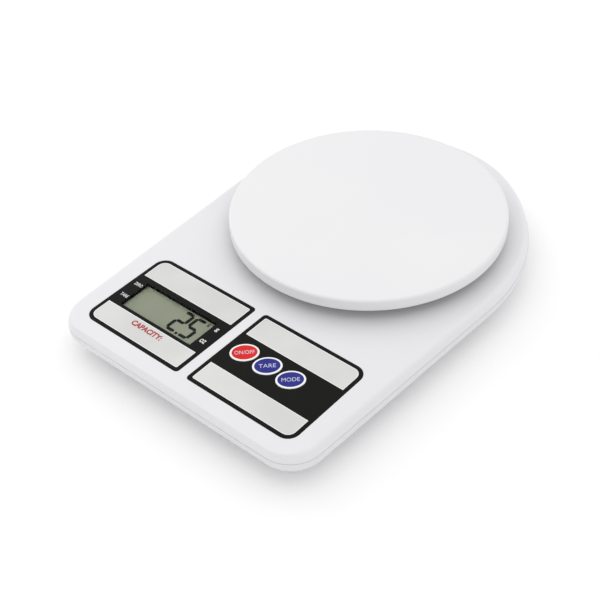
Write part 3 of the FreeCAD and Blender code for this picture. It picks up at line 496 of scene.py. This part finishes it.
LABEL_TOP = DISPLAY_HIGH.z
FRAME_WIDTH = 2.2
WHITE_LINE = 0.35
PANEL_OUTER_RADIUS = 4.3
PANEL_INNER_RADIUS = 0.9
PANEL_SQUARE = 0.05
FRONT_PANEL_DEPTH = 13.0
REAR_PANEL_DEPTH = 14.3
INK = 0.04
LABEL_EDGE_ROUND = 0.06

# Screen-printed black under a glossy clear film: deep black with a sharp, faintly rippled gloss.
black_print = new_material("black_ink_under_film", IOR=1.5, Specular_IOR_Level=0.08)
add_grain(black_print, 2.5, 0.0004, (0.3, 0.4), ("#0C0C0B", "#11110F"), 40)

# Silver panels: aluminium-flake ink, a soft grey sparkle. The flakes of 0.05 mm are drawn at 0.6 mm.
silver_print = new_material("silver_flake_ink", IOR=1.5, Metallic=0.3, Specular_IOR_Level=0.2)
add_grain(silver_print, 0.6, 0.0003, (0.4, 0.5), ("#CFCFCD", "#D7D7D5"), 30)

# White ink: opaque and matt next to the film.
white_print = new_material("white_screen_ink", IOR=1.5)
add_grain(white_print, 0.5, 0.0006, (0.35, 0.5), ("#F6F6F5", "#F2F2F2"), 15)


def make_label(name, low, high, radii, cutter, node):
    """Label sheet with eased edges, cut out for what shows through it."""
    mesh = bmesh.new()
    ease = Vector((LABEL_EDGE_ROUND, LABEL_EDGE_ROUND, 0))
    loft(mesh, [rounded_rectangle(low, high, low.z, radii),
                rounded_rectangle(low, high, LABEL_TOP - LABEL_EDGE_ROUND, radii),
                rounded_rectangle(low + ease, high - ease, LABEL_TOP,
                                  [radius - LABEL_EDGE_ROUND for radius in radii])])
    label = piece_from(mesh, name, black_print)
    carve(label, cutter)
    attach(label, "case")
    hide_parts(node)


window_cut = bmesh.new()
prism(window_cut, WINDOW_LOW, WINDOW_HIGH, LABEL_SEAT - CUT_OVERRUN, LABEL_TOP + CUT_OVERRUN)
make_label("display_overlay", DISPLAY_LOW, DISPLAY_HIGH, OUTER_LEFT, window_cut, "display_label")
key_cuts = bmesh.new()
key_openings(key_cuts, LABEL_SEAT - CUT_OVERRUN, LABEL_TOP + CUT_OVERRUN)
make_label("keypad_overlay", KEYPAD_LOW, KEYPAD_HIGH, OUTER_RIGHT, key_cuts, "keypad_label")


def print_panel(mesh, low, high, radii, rise):
    """Thin printed area lying on a label."""
    prism(mesh, low, high, LABEL_TOP - INK, LABEL_TOP + rise, radii)


silver_areas, white_areas = bmesh.new(), bmesh.new()
for low, high, outer_right in ((DISPLAY_LOW, DISPLAY_HIGH, False), (KEYPAD_LOW, KEYPAD_HIGH, True)):
    inner_low = low + Vector((FRAME_WIDTH, FRAME_WIDTH, 0))
    inner_high = high - Vector((FRAME_WIDTH, FRAME_WIDTH, 0))
    left = PANEL_INNER_RADIUS if outer_right else PANEL_OUTER_RADIUS
    right = PANEL_OUTER_RADIUS if outer_right else PANEL_INNER_RADIUS
    front_high = Vector((inner_high.x, inner_low.y + FRONT_PANEL_DEPTH, 0))
    rear_low = Vector((inner_low.x, inner_high.y - REAR_PANEL_DEPTH, 0))
    line = Vector((WHITE_LINE, WHITE_LINE, 0))
    for area_low, area_high, radii in (
            (inner_low, front_high, (left, right, PANEL_SQUARE, PANEL_SQUARE)),
            (rear_low, inner_high, (PANEL_SQUARE, PANEL_SQUARE, right, left))):
        print_panel(white_areas, area_low, area_high, radii, INK)
        inset_radii = [max(radius - WHITE_LINE, PANEL_SQUARE) for radius in radii]
        print_panel(silver_areas, area_low + line, area_high - line, inset_radii, 2 * INK)
for mesh, name, material in ((white_areas, "label_white_lines", white_print),
                             (silver_areas, "label_silver_panels", silver_print)):
    areas = piece_from(mesh, name, material)
    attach(areas, "case")


# ---------- Words and marks printed on the labels ----------
# Plain function words in white and red ink, screen-printed on the film with the panels.

WORD_INK = 0.06
CAPACITY_X = -34.7
CAPACITY_DISTANCE = 21.8
CAPACITY_HEIGHT = 3.4
CAPACITY_WIDTH = 20.0
CAPACITY_WEIGHT = 0.035
# Name, text, x, distance from the front edge, height and width of each white mark.
WHITE_MARKS = (("zero_word", "ZERO", -62.4, 42.9, 2.0, 5.0), ("tare_word", "TARE", -62.4, 33.0, 2.0, 5.0),
               ("gram_mark", "g", -7.8, 43.0, 2.5, 1.7), ("ounce_mark", "oz", -7.8, 33.2, 2.5, 3.2))

red_print = new_material("red_screen_ink", IOR=1.5)
add_grain(red_print, 0.5, 0.0006, (0.35, 0.5), ("#A81E26", "#B3262E"), 12)


def word(name, text, middle, height, width, material, body, turn=0, weight=0):
    """Printed text: capitals of a given height and overall width, centred on middle."""
    curve = bpy.data.curves.new(name, "FONT")
    curve.body = text
    curve.offset = weight
    curve.extrude = WORD_INK / 2
    curve.resolution_u = 4
    source = bpy.data.objects.new(name + "_source", curve)
    scene.collection.objects.link(source)
    bpy.context.view_layer.update()
    mesh = bpy.data.meshes.new_from_object(source.evaluated_get(bpy.context.evaluated_depsgraph_get()))
    bpy.data.objects.remove(source)
    corners = [vertex.co for vertex in mesh.vertices]
    low = Vector([min(corner[axis] for corner in corners) for axis in range(3)])
    high = Vector([max(corner[axis] for corner in corners) for axis in range(3)])
    centre = (low + high) / 2
    fit = Matrix.Diagonal((width / (high.x - low.x), height / (high.y - low.y), 1, 1))
    mesh.transform(Matrix.Scale(MM, 4) @ Matrix.Translation(middle) @ Matrix.Rotation(turn, 4, "Z")
                   @ fit @ Matrix.Translation(-centre))
    mesh.materials.clear()
    mesh.materials.append(material)
    piece = bpy.data.objects.new(name, mesh)
    scene.collection.objects.link(piece)
    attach(piece, body)


def on_label(x, front_distance, rise):
    """A place on the labels: x from the middle of the scale, distance from its front edge."""
    return Vector((x, FRONT_EDGE + front_distance, LABEL_TOP + rise))


word("capacity_word", "CAPACITY:", on_label(CAPACITY_X, CAPACITY_DISTANCE, 3 * INK), CAPACITY_HEIGHT,
     CAPACITY_WIDTH, red_print, "case", weight=CAPACITY_WEIGHT)
for name, text, x, distance, height, width in WHITE_MARKS:
    word(name, text, on_label(x, distance, INK), height, width, white_print, "case")


# ---------- Display: liquid crystal glass behind a clear window ----------
# A reflective twisted-nematic panel clipped under the deck, olive grey with dark digits, seen
# through a polished acrylic window that is flush with the label.

LCD_TOP = box_of("lcd_glass")[1].z
DIGIT_HEIGHT = 15.6
DIGIT_WIDTH = 7.2
STROKE = 1.75
SEGMENT_GAP = 0.18
DIGIT_FRONT = 30.1
DIGIT_SLANT = 0.03
DIGIT_RISE = 0.12
DIGITS = (("2", -31.7), ("5", -23.6))
POINT_SIDE = 1.3
POINT_GAP = 1.0
SEGMENT_POINT = 0.42
DIGIT_SINK = 0.02
UNIT_MARK_PLACE = (-15.0, 44.6)
UNIT_MARK_HEIGHT = 2.2
UNIT_MARK_WIDTH = 1.3
GASKET_FIT = 0.03
LIT = {"2": "abged", "5": "afgcd"}

# Rear polariser: olive grey film, matt, with a slight cloudiness.
lcd_back = new_material("lcd_rear_polariser", IOR=1.5, Specular_IOR_Level=0.1)
add_grain(lcd_back, 0.8, 0.0003, (0.4, 0.5), ("#919783", "#979D89"), 22)
coat(lcd_back, "lcd_glass")

# Twisted liquid crystal: nearly black with a green cast where it is switched on.
lcd_ink = new_material("lcd_segment_on", IOR=1.5, Specular_IOR_Level=0.1)
add_grain(lcd_ink, 0.6, 0.0003, (0.45, 0.55), ("#0C100E", "#121513"), 8)


def segment_shape(first, last):
    """Bar with pointed ends between two points of a digit."""
    way = (last - first).normalized()
    across = Vector((-way.y, way.x)) * STROKE / 2
    start, end = first + way * SEGMENT_GAP, last - way * SEGMENT_GAP
    point = way * STROKE * SEGMENT_POINT
    return [start, start + point - across, end - point - across,
            end, end - point + across, start + point + across]


def digit_segments(letter, left):
    """Outlines of the lit bars of one seven-bar digit."""
    x0, x1 = left + STROKE / 2, left + DIGIT_WIDTH - STROKE / 2
    y0, y2 = DIGIT_FRONT + STROKE / 2, DIGIT_FRONT + DIGIT_HEIGHT - STROKE / 2
    y1 = (y0 + y2) / 2
    bars = {"a": ((x0, y2), (x1, y2)), "b": ((x1, y1), (x1, y2)), "c": ((x1, y0), (x1, y1)),
            "d": ((x0, y0), (x1, y0)), "e": ((x0, y0), (x0, y1)), "f": ((x0, y1), (x0, y2)),
            "g": ((x0, y1), (x1, y1))}
    shapes = []
    for bar in LIT[letter]:
        first, last = (Vector(point) for point in bars[bar])
        shapes.append(segment_shape(first, last))
    return shapes


segments = [shape for letter, left in DIGITS for shape in digit_segments(letter, left)]
point_left = DIGITS[1][1] - POINT_GAP
segments.append([Vector((point_left + x * POINT_SIDE, DIGIT_FRONT + y * POINT_SIDE))
                 for x, y in ((0, 0), (1, 0), (1, 1), (0, 1))])
digit_mesh = bmesh.new()
for shape in segments:
    loft(digit_mesh, [[Vector((point.x + (point.y - DIGIT_FRONT) * DIGIT_SLANT, FRONT_EDGE + point.y, height))
                       for point in shape] for height in (LCD_TOP - DIGIT_SINK, LCD_TOP + DIGIT_RISE)])
digits = piece_from(digit_mesh, "lcd_digits", lcd_ink)
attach(digits, "case")
unit_middle = Vector((UNIT_MARK_PLACE[0], FRONT_EDGE + UNIT_MARK_PLACE[1], LCD_TOP + DIGIT_RISE / 2))
word("lcd_unit_mark", "g", unit_middle, UNIT_MARK_HEIGHT, UNIT_MARK_WIDTH, lcd_ink, "case")

# Closed-cell foam gasket between the deck and the glass: black and dull, it hides the cut edge. Its black
# also stands in for the shade that falls on the window's inner edges: painted shade.
foam = new_material("black_foam_and_painted_edge_shade", IOR=1.4, Specular_IOR_Level=0.1)
add_grain(foam, 0.5, 0.002, (0.85, 0.95), ("#0F0F0E", "#131312"), 4)
gasket_mesh = bmesh.new()
rim = border - Vector((GASKET_FIT, GASKET_FIT, 0))
prism(gasket_mesh, WINDOW_LOW - rim, WINDOW_HIGH + rim, LCD_TOP, LABEL_SEAT)
opening = bmesh.new()
prism(opening, WINDOW_LOW, WINDOW_HIGH, LCD_TOP - CUT_OVERRUN, LABEL_SEAT + CUT_OVERRUN)
gasket = piece_from(gasket_mesh, "display_gasket_painted_shade", foam)
carve(gasket, opening)
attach(gasket, "case")

# Cast acrylic window: clear and polished. Its low alpha leaves only a trace of dark tint.
clear_acrylic = new_material("clear_acrylic_sheet", IOR=1.49, Alpha=0.03)
add_grain(clear_acrylic, 3.0, 0.0004, (0.05, 0.09), ("#2C302C", "#323632"), 30)
coat(clear_acrylic, "display_window")


# ---------- Keys: three oval caps ----------
# Silicone-backed ABS caps, tampo-printed: a white ring round a red or blue field, with the
# word for its function along the long axis. Each sits loose in its hole over a switch.

KEY_BOTTOM, KEY_TOP = (corner.z for corner in box_of("key_power"))
KEY_RING = 0.95
KEY_FLANGE = 0.55
KEY_FLANGE_GAP = 0.1
KEY_FLANGE_THICKNESS = 1.0
KEY_FLANGE_TOP = DECK - DECK_THICKNESS - KEY_FLANGE_GAP
KEY_FLANGE_BOTTOM = KEY_FLANGE_TOP - KEY_FLANGE_THICKNESS
# Inset and drop of the points that ease the top edge.
KEY_EDGE = ((0, 0.16), (0.05, 0.06), (0.16, 0.015))
KEY_FIELD_DROP = 0.01
KEY_FIELD_STEP = 0.02
STEM_RADIUS = 1.6
KEY_WORDS = {"power": ("ON/OFF", 9.6), "tare": ("TARE", 8.2), "mode": ("MODE", 8.6)}
KEY_WORD_HEIGHT = 2.5

# Pad print on the cap: a glossy coat of ink, a little uneven over the moulded grain.
red_cap = new_material("red_printed_abs", IOR=1.53, Specular_IOR_Level=0.2)
add_grain(red_cap, 0.7, 0.001, (0.28, 0.38), ("#D0140F", "#D81A14"), 10)
blue_cap = new_material("blue_printed_abs", IOR=1.53, Specular_IOR_Level=0.2)
add_grain(blue_cap, 0.7, 0.001, (0.28, 0.38), ("#1D2180", "#222688"), 10)

# The words are a thin pass of white ink that lets a little of the coloured field through.
pale_print = new_material("thin_white_pad_print", IOR=1.5, Specular_IOR_Level=0.2)
add_grain(pale_print, 0.5, 0.0006, (0.4, 0.55), ("#C6C8DA", "#CDCFDF"), 10)

for name, middle in zip(KEYS, key_middles):
    body = name + "_key"
    rings = [(KEY_FLANGE, KEY_FLANGE_BOTTOM), (KEY_FLANGE, KEY_FLANGE_TOP), (0, KEY_FLANGE_TOP)]
    rings += [(-inset, KEY_TOP - drop) for inset, drop in KEY_EDGE]
    rings += [(-KEY_RING, KEY_TOP - KEY_FIELD_DROP), (-KEY_RING - KEY_FIELD_STEP, KEY_TOP - KEY_FIELD_DROP),
              (-KEY_RING - EDGE_MARGIN, KEY_TOP)]
    cap_mesh = bmesh.new()
    loft(cap_mesh, [oval_ring(middle, KEY_MAJOR + grow, KEY_MINOR + grow, KEY_TILT, height)
                    for grow, height in rings], [0] * 6 + [1] * 3)
    loft(cap_mesh, [turned_ring(middle, STEM_RADIUS, height, steps=24)
                    for height in (KEY_BOTTOM, KEY_FLANGE_BOTTOM)])
    field = red_cap if name == "power" else blue_cap
    cap = piece_from(cap_mesh, "key_cap_" + name, white_print, field)
    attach(cap, body)
    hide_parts("key_" + name)
    text, width = KEY_WORDS[name]
    word("key_word_" + name, text, Vector((middle.x, middle.y, KEY_TOP)), KEY_WORD_HEIGHT, width, pale_print,
         body, turn=KEY_TILT)


# ---------- Feet: four soft pads ----------
# Moulded grey thermoplastic rubber discs pressed into recesses in the floor, with a ribbed
# underside that grips the table.

FEET = ("foot_front_left", "foot_front_right", "foot_rear_left", "foot_rear_right")
FOOT_EDGE = 0.6
FOOT_BEVEL = 0.18
FOOT_GROOVE_DEPTH = 0.35
FOOT_GROOVES = (2.2, 3.8, 5.4)
FOOT_GROOVE_WIDTH = 0.5

# Thermoplastic rubber: matt, with a dry sheen at grazing angles.
grey_rubber = new_material("moulded_grey_rubber", IOR=1.5, Sheen_Weight=0.15, Sheen_Roughness=0.5)
add_grain(grey_rubber, 0.6, 0.02, (0.65, 0.8), ("#6E6E71", "#757578"), 8)
pad_mesh = bmesh.new()
for node in FEET:
    low, high = box_of(node)
    middle = (low + high) / 2
    radius = (high.x - low.x) / 2
    profile = [(FOOT_GROOVES[0] - FOOT_GROOVE_WIDTH, low.z)]
    for groove in FOOT_GROOVES:
        profile += [(groove - FOOT_GROOVE_WIDTH / 2, low.z), (groove, low.z + FOOT_GROOVE_DEPTH),
                    (groove + FOOT_GROOVE_WIDTH / 2, low.z)]
    profile += [(radius - FOOT_EDGE, low.z), (radius - FOOT_BEVEL, low.z + FOOT_BEVEL),
                (radius, low.z + FOOT_EDGE), (radius, high.z)]
    loft(pad_mesh, [turned_ring(middle, size, height, steps=64) for size, height in profile])
pads = piece_from(pad_mesh, "foot_pads", grey_rubber)
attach(pads, "case")
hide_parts(*FEET)


# ---------- Screws: every cross-head screw of the scale ----------
# Zinc-plated self-tapping steel, pan heads with a cross recess. Six close the case, two and two
# hold the load cell, four the circuit board and four the platter.

# Shares of the head's radius, and of its height for the last. The second blade of the cross goes
# deeper than the first, so that their floors never lie in one plane.
CROWN_SHARE = 0.72
RECESS_LENGTH = 1.1
RECESS_WIDTH = 0.26
SECOND_BLADE = 1.15

# Bright zinc over steel: a cold bluish metal, a little streaked from the plating barrel.
zinc_steel = new_material("zinc_plated_steel", Metallic=1.0)
add_grain(zinc_steel, 0.5, 0.004, (0.22, 0.42), ("#B9BDC2", "#CACDD0"), 2, (1, 1, 4))

screw_tree = bpy.data.node_groups.new("cross_head_screws", "GeometryNodeTree")
screw_sockets = {}
for name, kind in (("Spots", "NodeSocketGeometry"), ("Head Radius", "NodeSocketFloat"),
                   ("Head Height", "NodeSocketFloat"), ("Shank Radius", "NodeSocketFloat"),
                   ("Shank Length", "NodeSocketFloat"), ("Turn", "NodeSocketRotation"),
                   ("Metal", "NodeSocketMaterial")):
    screw_sockets[name] = screw_tree.interface.new_socket(name, in_out="INPUT", socket_type=kind).identifier
screw_tree.interface.new_socket("Screws", in_out="OUTPUT", socket_type="NodeSocketGeometry")
given = add_node(screw_tree, "NodeGroupInput").outputs


def scaled(tree, source, factor):
    """A length multiplied by a factor."""
    return add_node(tree, "ShaderNodeMath", {1: factor}, {0: source}, operation="MULTIPLY").outputs[0]


crown = scaled(screw_tree, given["Head Radius"], CROWN_SHARE)
head = add_node(screw_tree, "GeometryNodeMeshCone", {"Vertices": 32, "Side Segments": 2},
                {"Radius Top": crown, "Radius Bottom": given["Head Radius"], "Depth": given["Head Height"]})
blade_length = scaled(screw_tree, given["Head Radius"], RECESS_LENGTH)
blade_width = scaled(screw_tree, given["Head Radius"], RECESS_WIDTH)
blade_depth = scaled(screw_tree, given["Head Height"], SECOND_BLADE)
blades = []
for long, wide, deep in ((blade_length, blade_width, given["Head Height"]),
                         (blade_width, blade_length, blade_depth)):
    blade_size = add_node(screw_tree, "ShaderNodeCombineXYZ", links={"X": long, "Y": wide, "Z": deep})
    blade = add_node(screw_tree, "GeometryNodeMeshCube", links={"Size": blade_size.outputs[0]})
    lift = add_node(screw_tree, "ShaderNodeCombineXYZ", links={"Z": given["Head Height"]})
    raised = add_node(screw_tree, "GeometryNodeTransform",
                      links={"Geometry": blade.outputs["Mesh"], "Translation": lift.outputs[0]})
    blades.append(raised.outputs["Geometry"])
recessed = head.outputs["Mesh"]
for blade in blades:
    recessed = add_node(screw_tree, "GeometryNodeMeshBoolean", links={"Mesh 1": recessed, "Mesh 2": blade},
                        operation="DIFFERENCE").outputs["Mesh"]
shank = add_node(screw_tree, "GeometryNodeMeshCylinder", {"Vertices": 20},
                 {"Radius": given["Shank Radius"], "Depth": given["Shank Length"]})
half_length = scaled(screw_tree, given["Shank Length"], -0.5)
drop = add_node(screw_tree, "ShaderNodeCombineXYZ", links={"Z": half_length})
lowered = add_node(screw_tree, "GeometryNodeTransform",
                   links={"Geometry": shank.outputs["Mesh"], "Translation": drop.outputs[0]})
whole = add_node(screw_tree, "GeometryNodeJoinGeometry")
screw_tree.links.new(recessed, whole.inputs[0])
screw_tree.links.new(lowered.outputs["Geometry"], whole.inputs[0])
copies = add_node(screw_tree, "GeometryNodeInstanceOnPoints",
                  links={"Points": given["Spots"], "Instance": whole.outputs[0], "Rotation": given["Turn"]})
real = add_node(screw_tree, "GeometryNodeRealizeInstances", links={"Geometry": copies.outputs["Instances"]})
plated = add_node(screw_tree, "GeometryNodeSetMaterial",
                  links={"Geometry": real.outputs["Geometry"], "Material": given["Metal"]})
screw_end = add_node(screw_tree, "NodeGroupOutput")
screw_tree.links.new(plated.outputs["Geometry"], screw_end.inputs["Screws"])


def solids_of(node):
    """Lowest and highest corner of every separate solid of a CAD node, in millimetres."""
    mesh = bmesh.new()
    mesh.from_mesh(nodes[node].data)
    bmesh.ops.remove_doubles(mesh, verts=mesh.verts, dist=1e-6)
    left = set(mesh.verts)
    solids = []
    while left:
        edge = [left.pop()]
        island = list(edge)
        while edge:
            near = [link.other_vert(vertex) for vertex in edge for link in vertex.link_edges]
            edge = list({vertex for vertex in near if vertex in left})
            left.difference_update(edge)
            island += edge
        solids.append([Vector([limit(vertex.co[axis] for vertex in island) / MM for axis in range(3)])
                       for limit in (min, max)])
    mesh.free()
    return sorted(solids, key=lambda solid: tuple(solid[0]))


def add_screws(name, node, body, head_height, shank_radius, upright=False):
    """Replace a CAD node of screws by finished ones; upright screws have their heads on top."""
    spots = []
    solids = solids_of(node)
    for low, high in solids:
        seat = high.z - head_height if upright else low.z + head_height
        spots.append(((low.x + high.x) / 2 * MM, (low.y + high.y) / 2 * MM, seat * MM))
    cloud = bpy.data.meshes.new(name)
    cloud.from_pydata(spots, [], [])
    piece = bpy.data.objects.new(name, cloud)
    scene.collection.objects.link(piece)
    modifier = piece.modifiers.new("screws", "NODES")
    modifier.node_group = screw_tree
    low, high = solids[-1]
    values = {"Head Radius": (high.x - low.x) / 2 * MM, "Head Height": head_height * MM,
              "Shank Radius": shank_radius * MM, "Shank Length": (high.z - low.z - head_height) * MM,
              "Turn": (0, 0, 0) if upright else (math.pi, 0, 0), "Metal": zinc_steel}
    for label, value in values.items():
        modifier[screw_sockets[label]] = value
    settle(piece)
    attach(piece, body)
    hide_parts(node)


add_screws("case_screw_set", "case_screws", "case", head_height=2.2, shank_radius=1.5)
add_screws("load_cell_screw_set", "load_cell_screws", "case", head_height=2.2, shank_radius=2.0)
add_screws("board_screw_set", "board_screws", "case", head_height=1.4, shank_radius=1.1)
add_screws("holder_screw_set", "holder_screws", "platter", head_height=2.2, shank_radius=2.0, upright=True)
add_screws("platter_screw_set", "platter_screws", "platter", head_height=1.6, shank_radius=1.4)


# ---------- Screw posts: bosses under the deck and under the platter ----------
# Hollow posts moulded in one with the lid and the platter, with a lead-in at the mouth and a
# flare at the wall. The bores are a little wider than the screws that come up from below.

POST_MOUTH = 0.3
POST_FLARE = 0.5
POST_ROOF = 0.5
# Radius, height of the mouth and radius of the bore.
CASE_POST = (3.5, 11.0, 1.55)
BOARD_POST = (2.5, 12.75, 1.15)
PLATTER_POST = (3.6, 26.8, 1.45)


def add_posts(name, node, sizes, top, material, body):
    """Hollow posts over every screw of a node, from their mouths up into the wall above."""
    radius, mouth, bore = sizes
    mesh = bmesh.new()
    outline = ((bore, top - POST_ROOF), (bore, mouth + POST_MOUTH), (bore + POST_MOUTH, mouth),
               (radius - POST_MOUTH, mouth), (radius, mouth + POST_MOUTH), (radius, top - POST_FLARE),
               (radius + POST_FLARE, top))
    for low, high in solids_of(node):
        middle = (low + high) / 2
        loft(mesh, [turned_ring(middle, size, height, steps=48) for size, height in outline])
    posts = piece_from(mesh, name, material)
    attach(posts, body)


deck_under = DECK - DECK_THICKNESS
add_posts("lid_case_posts", "case_screws", CASE_POST, deck_under, white_abs, "case")
add_posts("lid_board_posts", "board_screws", BOARD_POST, deck_under, white_abs, "case")
add_posts("platter_posts", "platter_screws", PLATTER_POST, platter_under, platter_abs, "platter")


# ---------- Battery door: the snap-in cover on the underside ----------
# Moulded with the tray in the same textured ABS. Two hooks hold its front edge and a sprung
# tongue its rear edge; ribs across it and an arrow show where to press.

DOOR_LOW, DOOR_HIGH = box_of("battery_door")
DOOR_FACE = DOOR_LOW.z
GRIP_COUNT = 6
GRIP_PITCH = 2.0
GRIP_LENGTH = 16.0
GRIP_RADIUS = 0.5
GRIP_START = 16.0
ARROW_WIDTH = 6.0
ARROW_DEPTH = 4.0
ARROW_RISE = 0.35
ARROW_GAP = 2.2

# The door and the platter's holder share the tray's texture, likewise drawn at 0.9 mm.
door_abs = new_material("moulded_white_abs_door", IOR=1.53)
add_grain(door_abs, 0.9, 0.003, (0.4, 0.5), ("#E2E1E4", "#E0DFE2"), 50)
coat(door_abs, "battery_door", "platter_holder")

grip_tree = bpy.data.node_groups.new("grip_ribs", "GeometryNodeTree")
grip_sockets = {}
for name, kind in (("Count", "NodeSocketInt"), ("Pitch", "NodeSocketFloat"),
                   ("Rib Length", "NodeSocketFloat"), ("Rib Radius", "NodeSocketFloat"),
                   ("Start", "NodeSocketVector"), ("Finish", "NodeSocketMaterial")):
    grip_sockets[name] = grip_tree.interface.new_socket(name, in_out="INPUT", socket_type=kind).identifier
grip_tree.interface.new_socket("Ribs", in_out="OUTPUT", socket_type="NodeSocketGeometry")
given = add_node(grip_tree, "NodeGroupInput").outputs
pitch = add_node(grip_tree, "ShaderNodeCombineXYZ", links={"Y": given["Pitch"]})
row = add_node(grip_tree, "GeometryNodeMeshLine",
               links={"Count": given["Count"], "Start Location": given["Start"], "Offset": pitch.outputs[0]})
rod = add_node(grip_tree, "GeometryNodeMeshCylinder", {"Vertices": 16},
               {"Radius": given["Rib Radius"], "Depth": given["Rib Length"]})
laid = add_node(grip_tree, "GeometryNodeTransform", {"Rotation": (0, math.pi / 2, 0)},
                {"Geometry": rod.outputs["Mesh"]})
ribs = add_node(grip_tree, "GeometryNodeInstanceOnPoints",
                links={"Points": row.outputs["Mesh"], "Instance": laid.outputs["Geometry"]})
made = add_node(grip_tree, "GeometryNodeRealizeInstances", links={"Geometry": ribs.outputs["Instances"]})
coated = add_node(grip_tree, "GeometryNodeSetMaterial",
                  links={"Geometry": made.outputs["Geometry"], "Material": given["Finish"]})
grip_end = add_node(grip_tree, "NodeGroupOutput")
grip_tree.links.new(coated.outputs["Geometry"], grip_end.inputs["Ribs"])

grips = bpy.data.objects.new("door_grip_ribs", bpy.data.meshes.new("door_grip_ribs"))
scene.collection.objects.link(grips)
modifier = grips.modifiers.new("ribs", "NODES")
modifier.node_group = grip_tree
door_middle_x = (DOOR_LOW.x + DOOR_HIGH.x) / 2
grip_first_y = DOOR_HIGH.y - GRIP_START - GRIP_PITCH * (GRIP_COUNT - 1) / 2
for label, value in {"Count": GRIP_COUNT, "Pitch": GRIP_PITCH * MM, "Rib Length": GRIP_LENGTH * MM,
                     "Rib Radius": GRIP_RADIUS * MM, "Finish": door_abs,
                     "Start": (door_middle_x * MM, grip_first_y * MM, DOOR_FACE * MM)}.items():
    modifier[grip_sockets[label]] = value
settle(grips)
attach(grips, "door")

arrow_mesh = bmesh.new()
arrow_foot = grip_first_y + GRIP_PITCH * (GRIP_COUNT - 1) + ARROW_GAP
corners = ((-ARROW_WIDTH / 2, arrow_foot), (ARROW_WIDTH / 2, arrow_foot), (0, arrow_foot + ARROW_DEPTH))
loft(arrow_mesh, [[Vector((door_middle_x + x, y, height)) for x, y in corners]
                  for height in (DOOR_FACE - ARROW_RISE, DOOR_FACE + ARROW_RISE)])
arrow = piece_from(arrow_mesh, "door_arrow", door_abs)
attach(arrow, "door")


# ---------- Batteries, springs and contacts ----------
# Two small round alkaline cells with a shrink-wrapped jacket, lying head to tail between
# nickel-plated steel contacts: a flat one at each plus end, a coil spring at each minus end.

END_BAND = 0.035
COLOUR_BAND = 0.3
BAND_COLOURS = ("#B9BCBF", "#B8693A", "#2B2D30", "#B9BCBF")
RIPPLE_MM = 3

for node, plus_first in (("battery_1", True), ("battery_2", False)):
    # Printed polyvinyl sleeve: dark grey with a copper-coloured band, bare nickel at both ends.
    sleeve = new_material("printed_shrink_sleeve_" + node, IOR=1.54)
    sleeve_tree = sleeve.node_tree
    sleeve_shader = sleeve_tree.nodes["Principled BSDF"]
    low, high = box_of(node)
    place = add_node(sleeve_tree, "ShaderNodeTexCoord")
    split = add_node(sleeve_tree, "ShaderNodeSeparateXYZ", links={0: place.outputs["Object"]})
    ends = (low.x * MM, high.x * MM) if plus_first else (high.x * MM, low.x * MM)
    along = add_node(sleeve_tree, "ShaderNodeMapRange", {"From Min": ends[0], "From Max": ends[1]},
                     {"Value": split.outputs["X"]})
    bands = add_node(sleeve_tree, "ShaderNodeValToRGB", links={"Fac": along.outputs["Result"]})
    bands.color_ramp.interpolation = "CONSTANT"
    bands.color_ramp.elements.new(END_BAND)
    bands.color_ramp.elements.new(COLOUR_BAND)
    bands.color_ramp.elements[-1].position = 1 - END_BAND / 2
    for element, tone in zip(bands.color_ramp.elements, BAND_COLOURS):
        element.color = srgb(tone)
    ripple = add_node(sleeve_tree, "ShaderNodeTexNoise", {"Scale": 1 / (RIPPLE_MM * MM)},
                      {"Vector": place.outputs["Object"]})
    gloss = add_node(sleeve_tree, "ShaderNodeMapRange", {"To Min": 0.22, "To Max": 0.36},
                     {"Value": ripple.outputs["Fac"]})
    sleeve_tree.links.new(bands.outputs["Color"], sleeve_shader.inputs["Base Color"])
    sleeve_tree.links.new(gloss.outputs["Result"], sleeve_shader.inputs["Roughness"])
    coat(sleeve, node)

# Bright nickel plate: a warm metal, slightly scratched by the cells that slide past it.
nickel = new_material("nickel_plated_spring_steel", Metallic=1.0)
add_grain(nickel, 0.4, 0.002, (0.2, 0.38), ("#C4C0B6", "#D0CCC3"), 3, (1, 3, 1))
coat(nickel, "battery_contacts", "battery_springs")


# ---------- Works inside: load cell, circuit board and display parts ----------
# A milled aluminium bending beam with potted strain gauges carries the holder. The circuit
# board hangs from the deck under the display with its chips, key switches and contact strips.

# Milled aluminium: satin grey with fine tool marks along the beam, 0.25 mm apart drawn at 0.8 mm.
milled_aluminium = new_material("milled_aluminium", Metallic=1.0)
add_grain(milled_aluminium, 0.8, 0.004, (0.3, 0.45), ("#B9BBBD", "#C6C8CA"), 10, (3, 0.3, 3))
coat(milled_aluminium, "load_cell")

# Silicone potting: opaque white rubber that levelled itself, smooth with a soft skin.
potting = new_material("white_silicone_potting", IOR=1.41)
add_grain(potting, 2.5, 0.03, (0.35, 0.5), ("#E8E6DF", "#F0EEE8"), 6)
coat(potting, "gauge_potting")

# Solder mask over glass-fibre board: deep green gloss with the weave just showing.
solder_mask = new_material("green_solder_mask", IOR=1.55)
add_grain(solder_mask, 0.8, 0.003, (0.2, 0.32), ("#1C5B38", "#236843"), 9)
coat(solder_mask, "circuit_board")

# Moulded and potted epoxy: near black and matt, with filler grains.
black_epoxy = new_material("black_moulded_epoxy", IOR=1.55)
add_grain(black_epoxy, 0.5, 0.008, (0.55, 0.7), ("#1B1B1D", "#242427"), 4)
coat(black_epoxy, "chip_blob", "converter_chip", "switch_power", "switch_tare", "switch_mode")

# Striped rubber connector: layers of carbon-filled and clear silicone, cut flat.
strip_rubber = new_material("layered_silicone_strip", IOR=1.41)
add_grain(strip_rubber, 0.6, 0.004, (0.55, 0.7), ("#D9BBAA", "#E6CAB9"), 0.9, (1, 0.1, 0.1))
coat(strip_rubber, "contact_strips")

# The overload stop is a set screw of the same plated steel as the others.
coat(zinc_steel, "overload_stop")
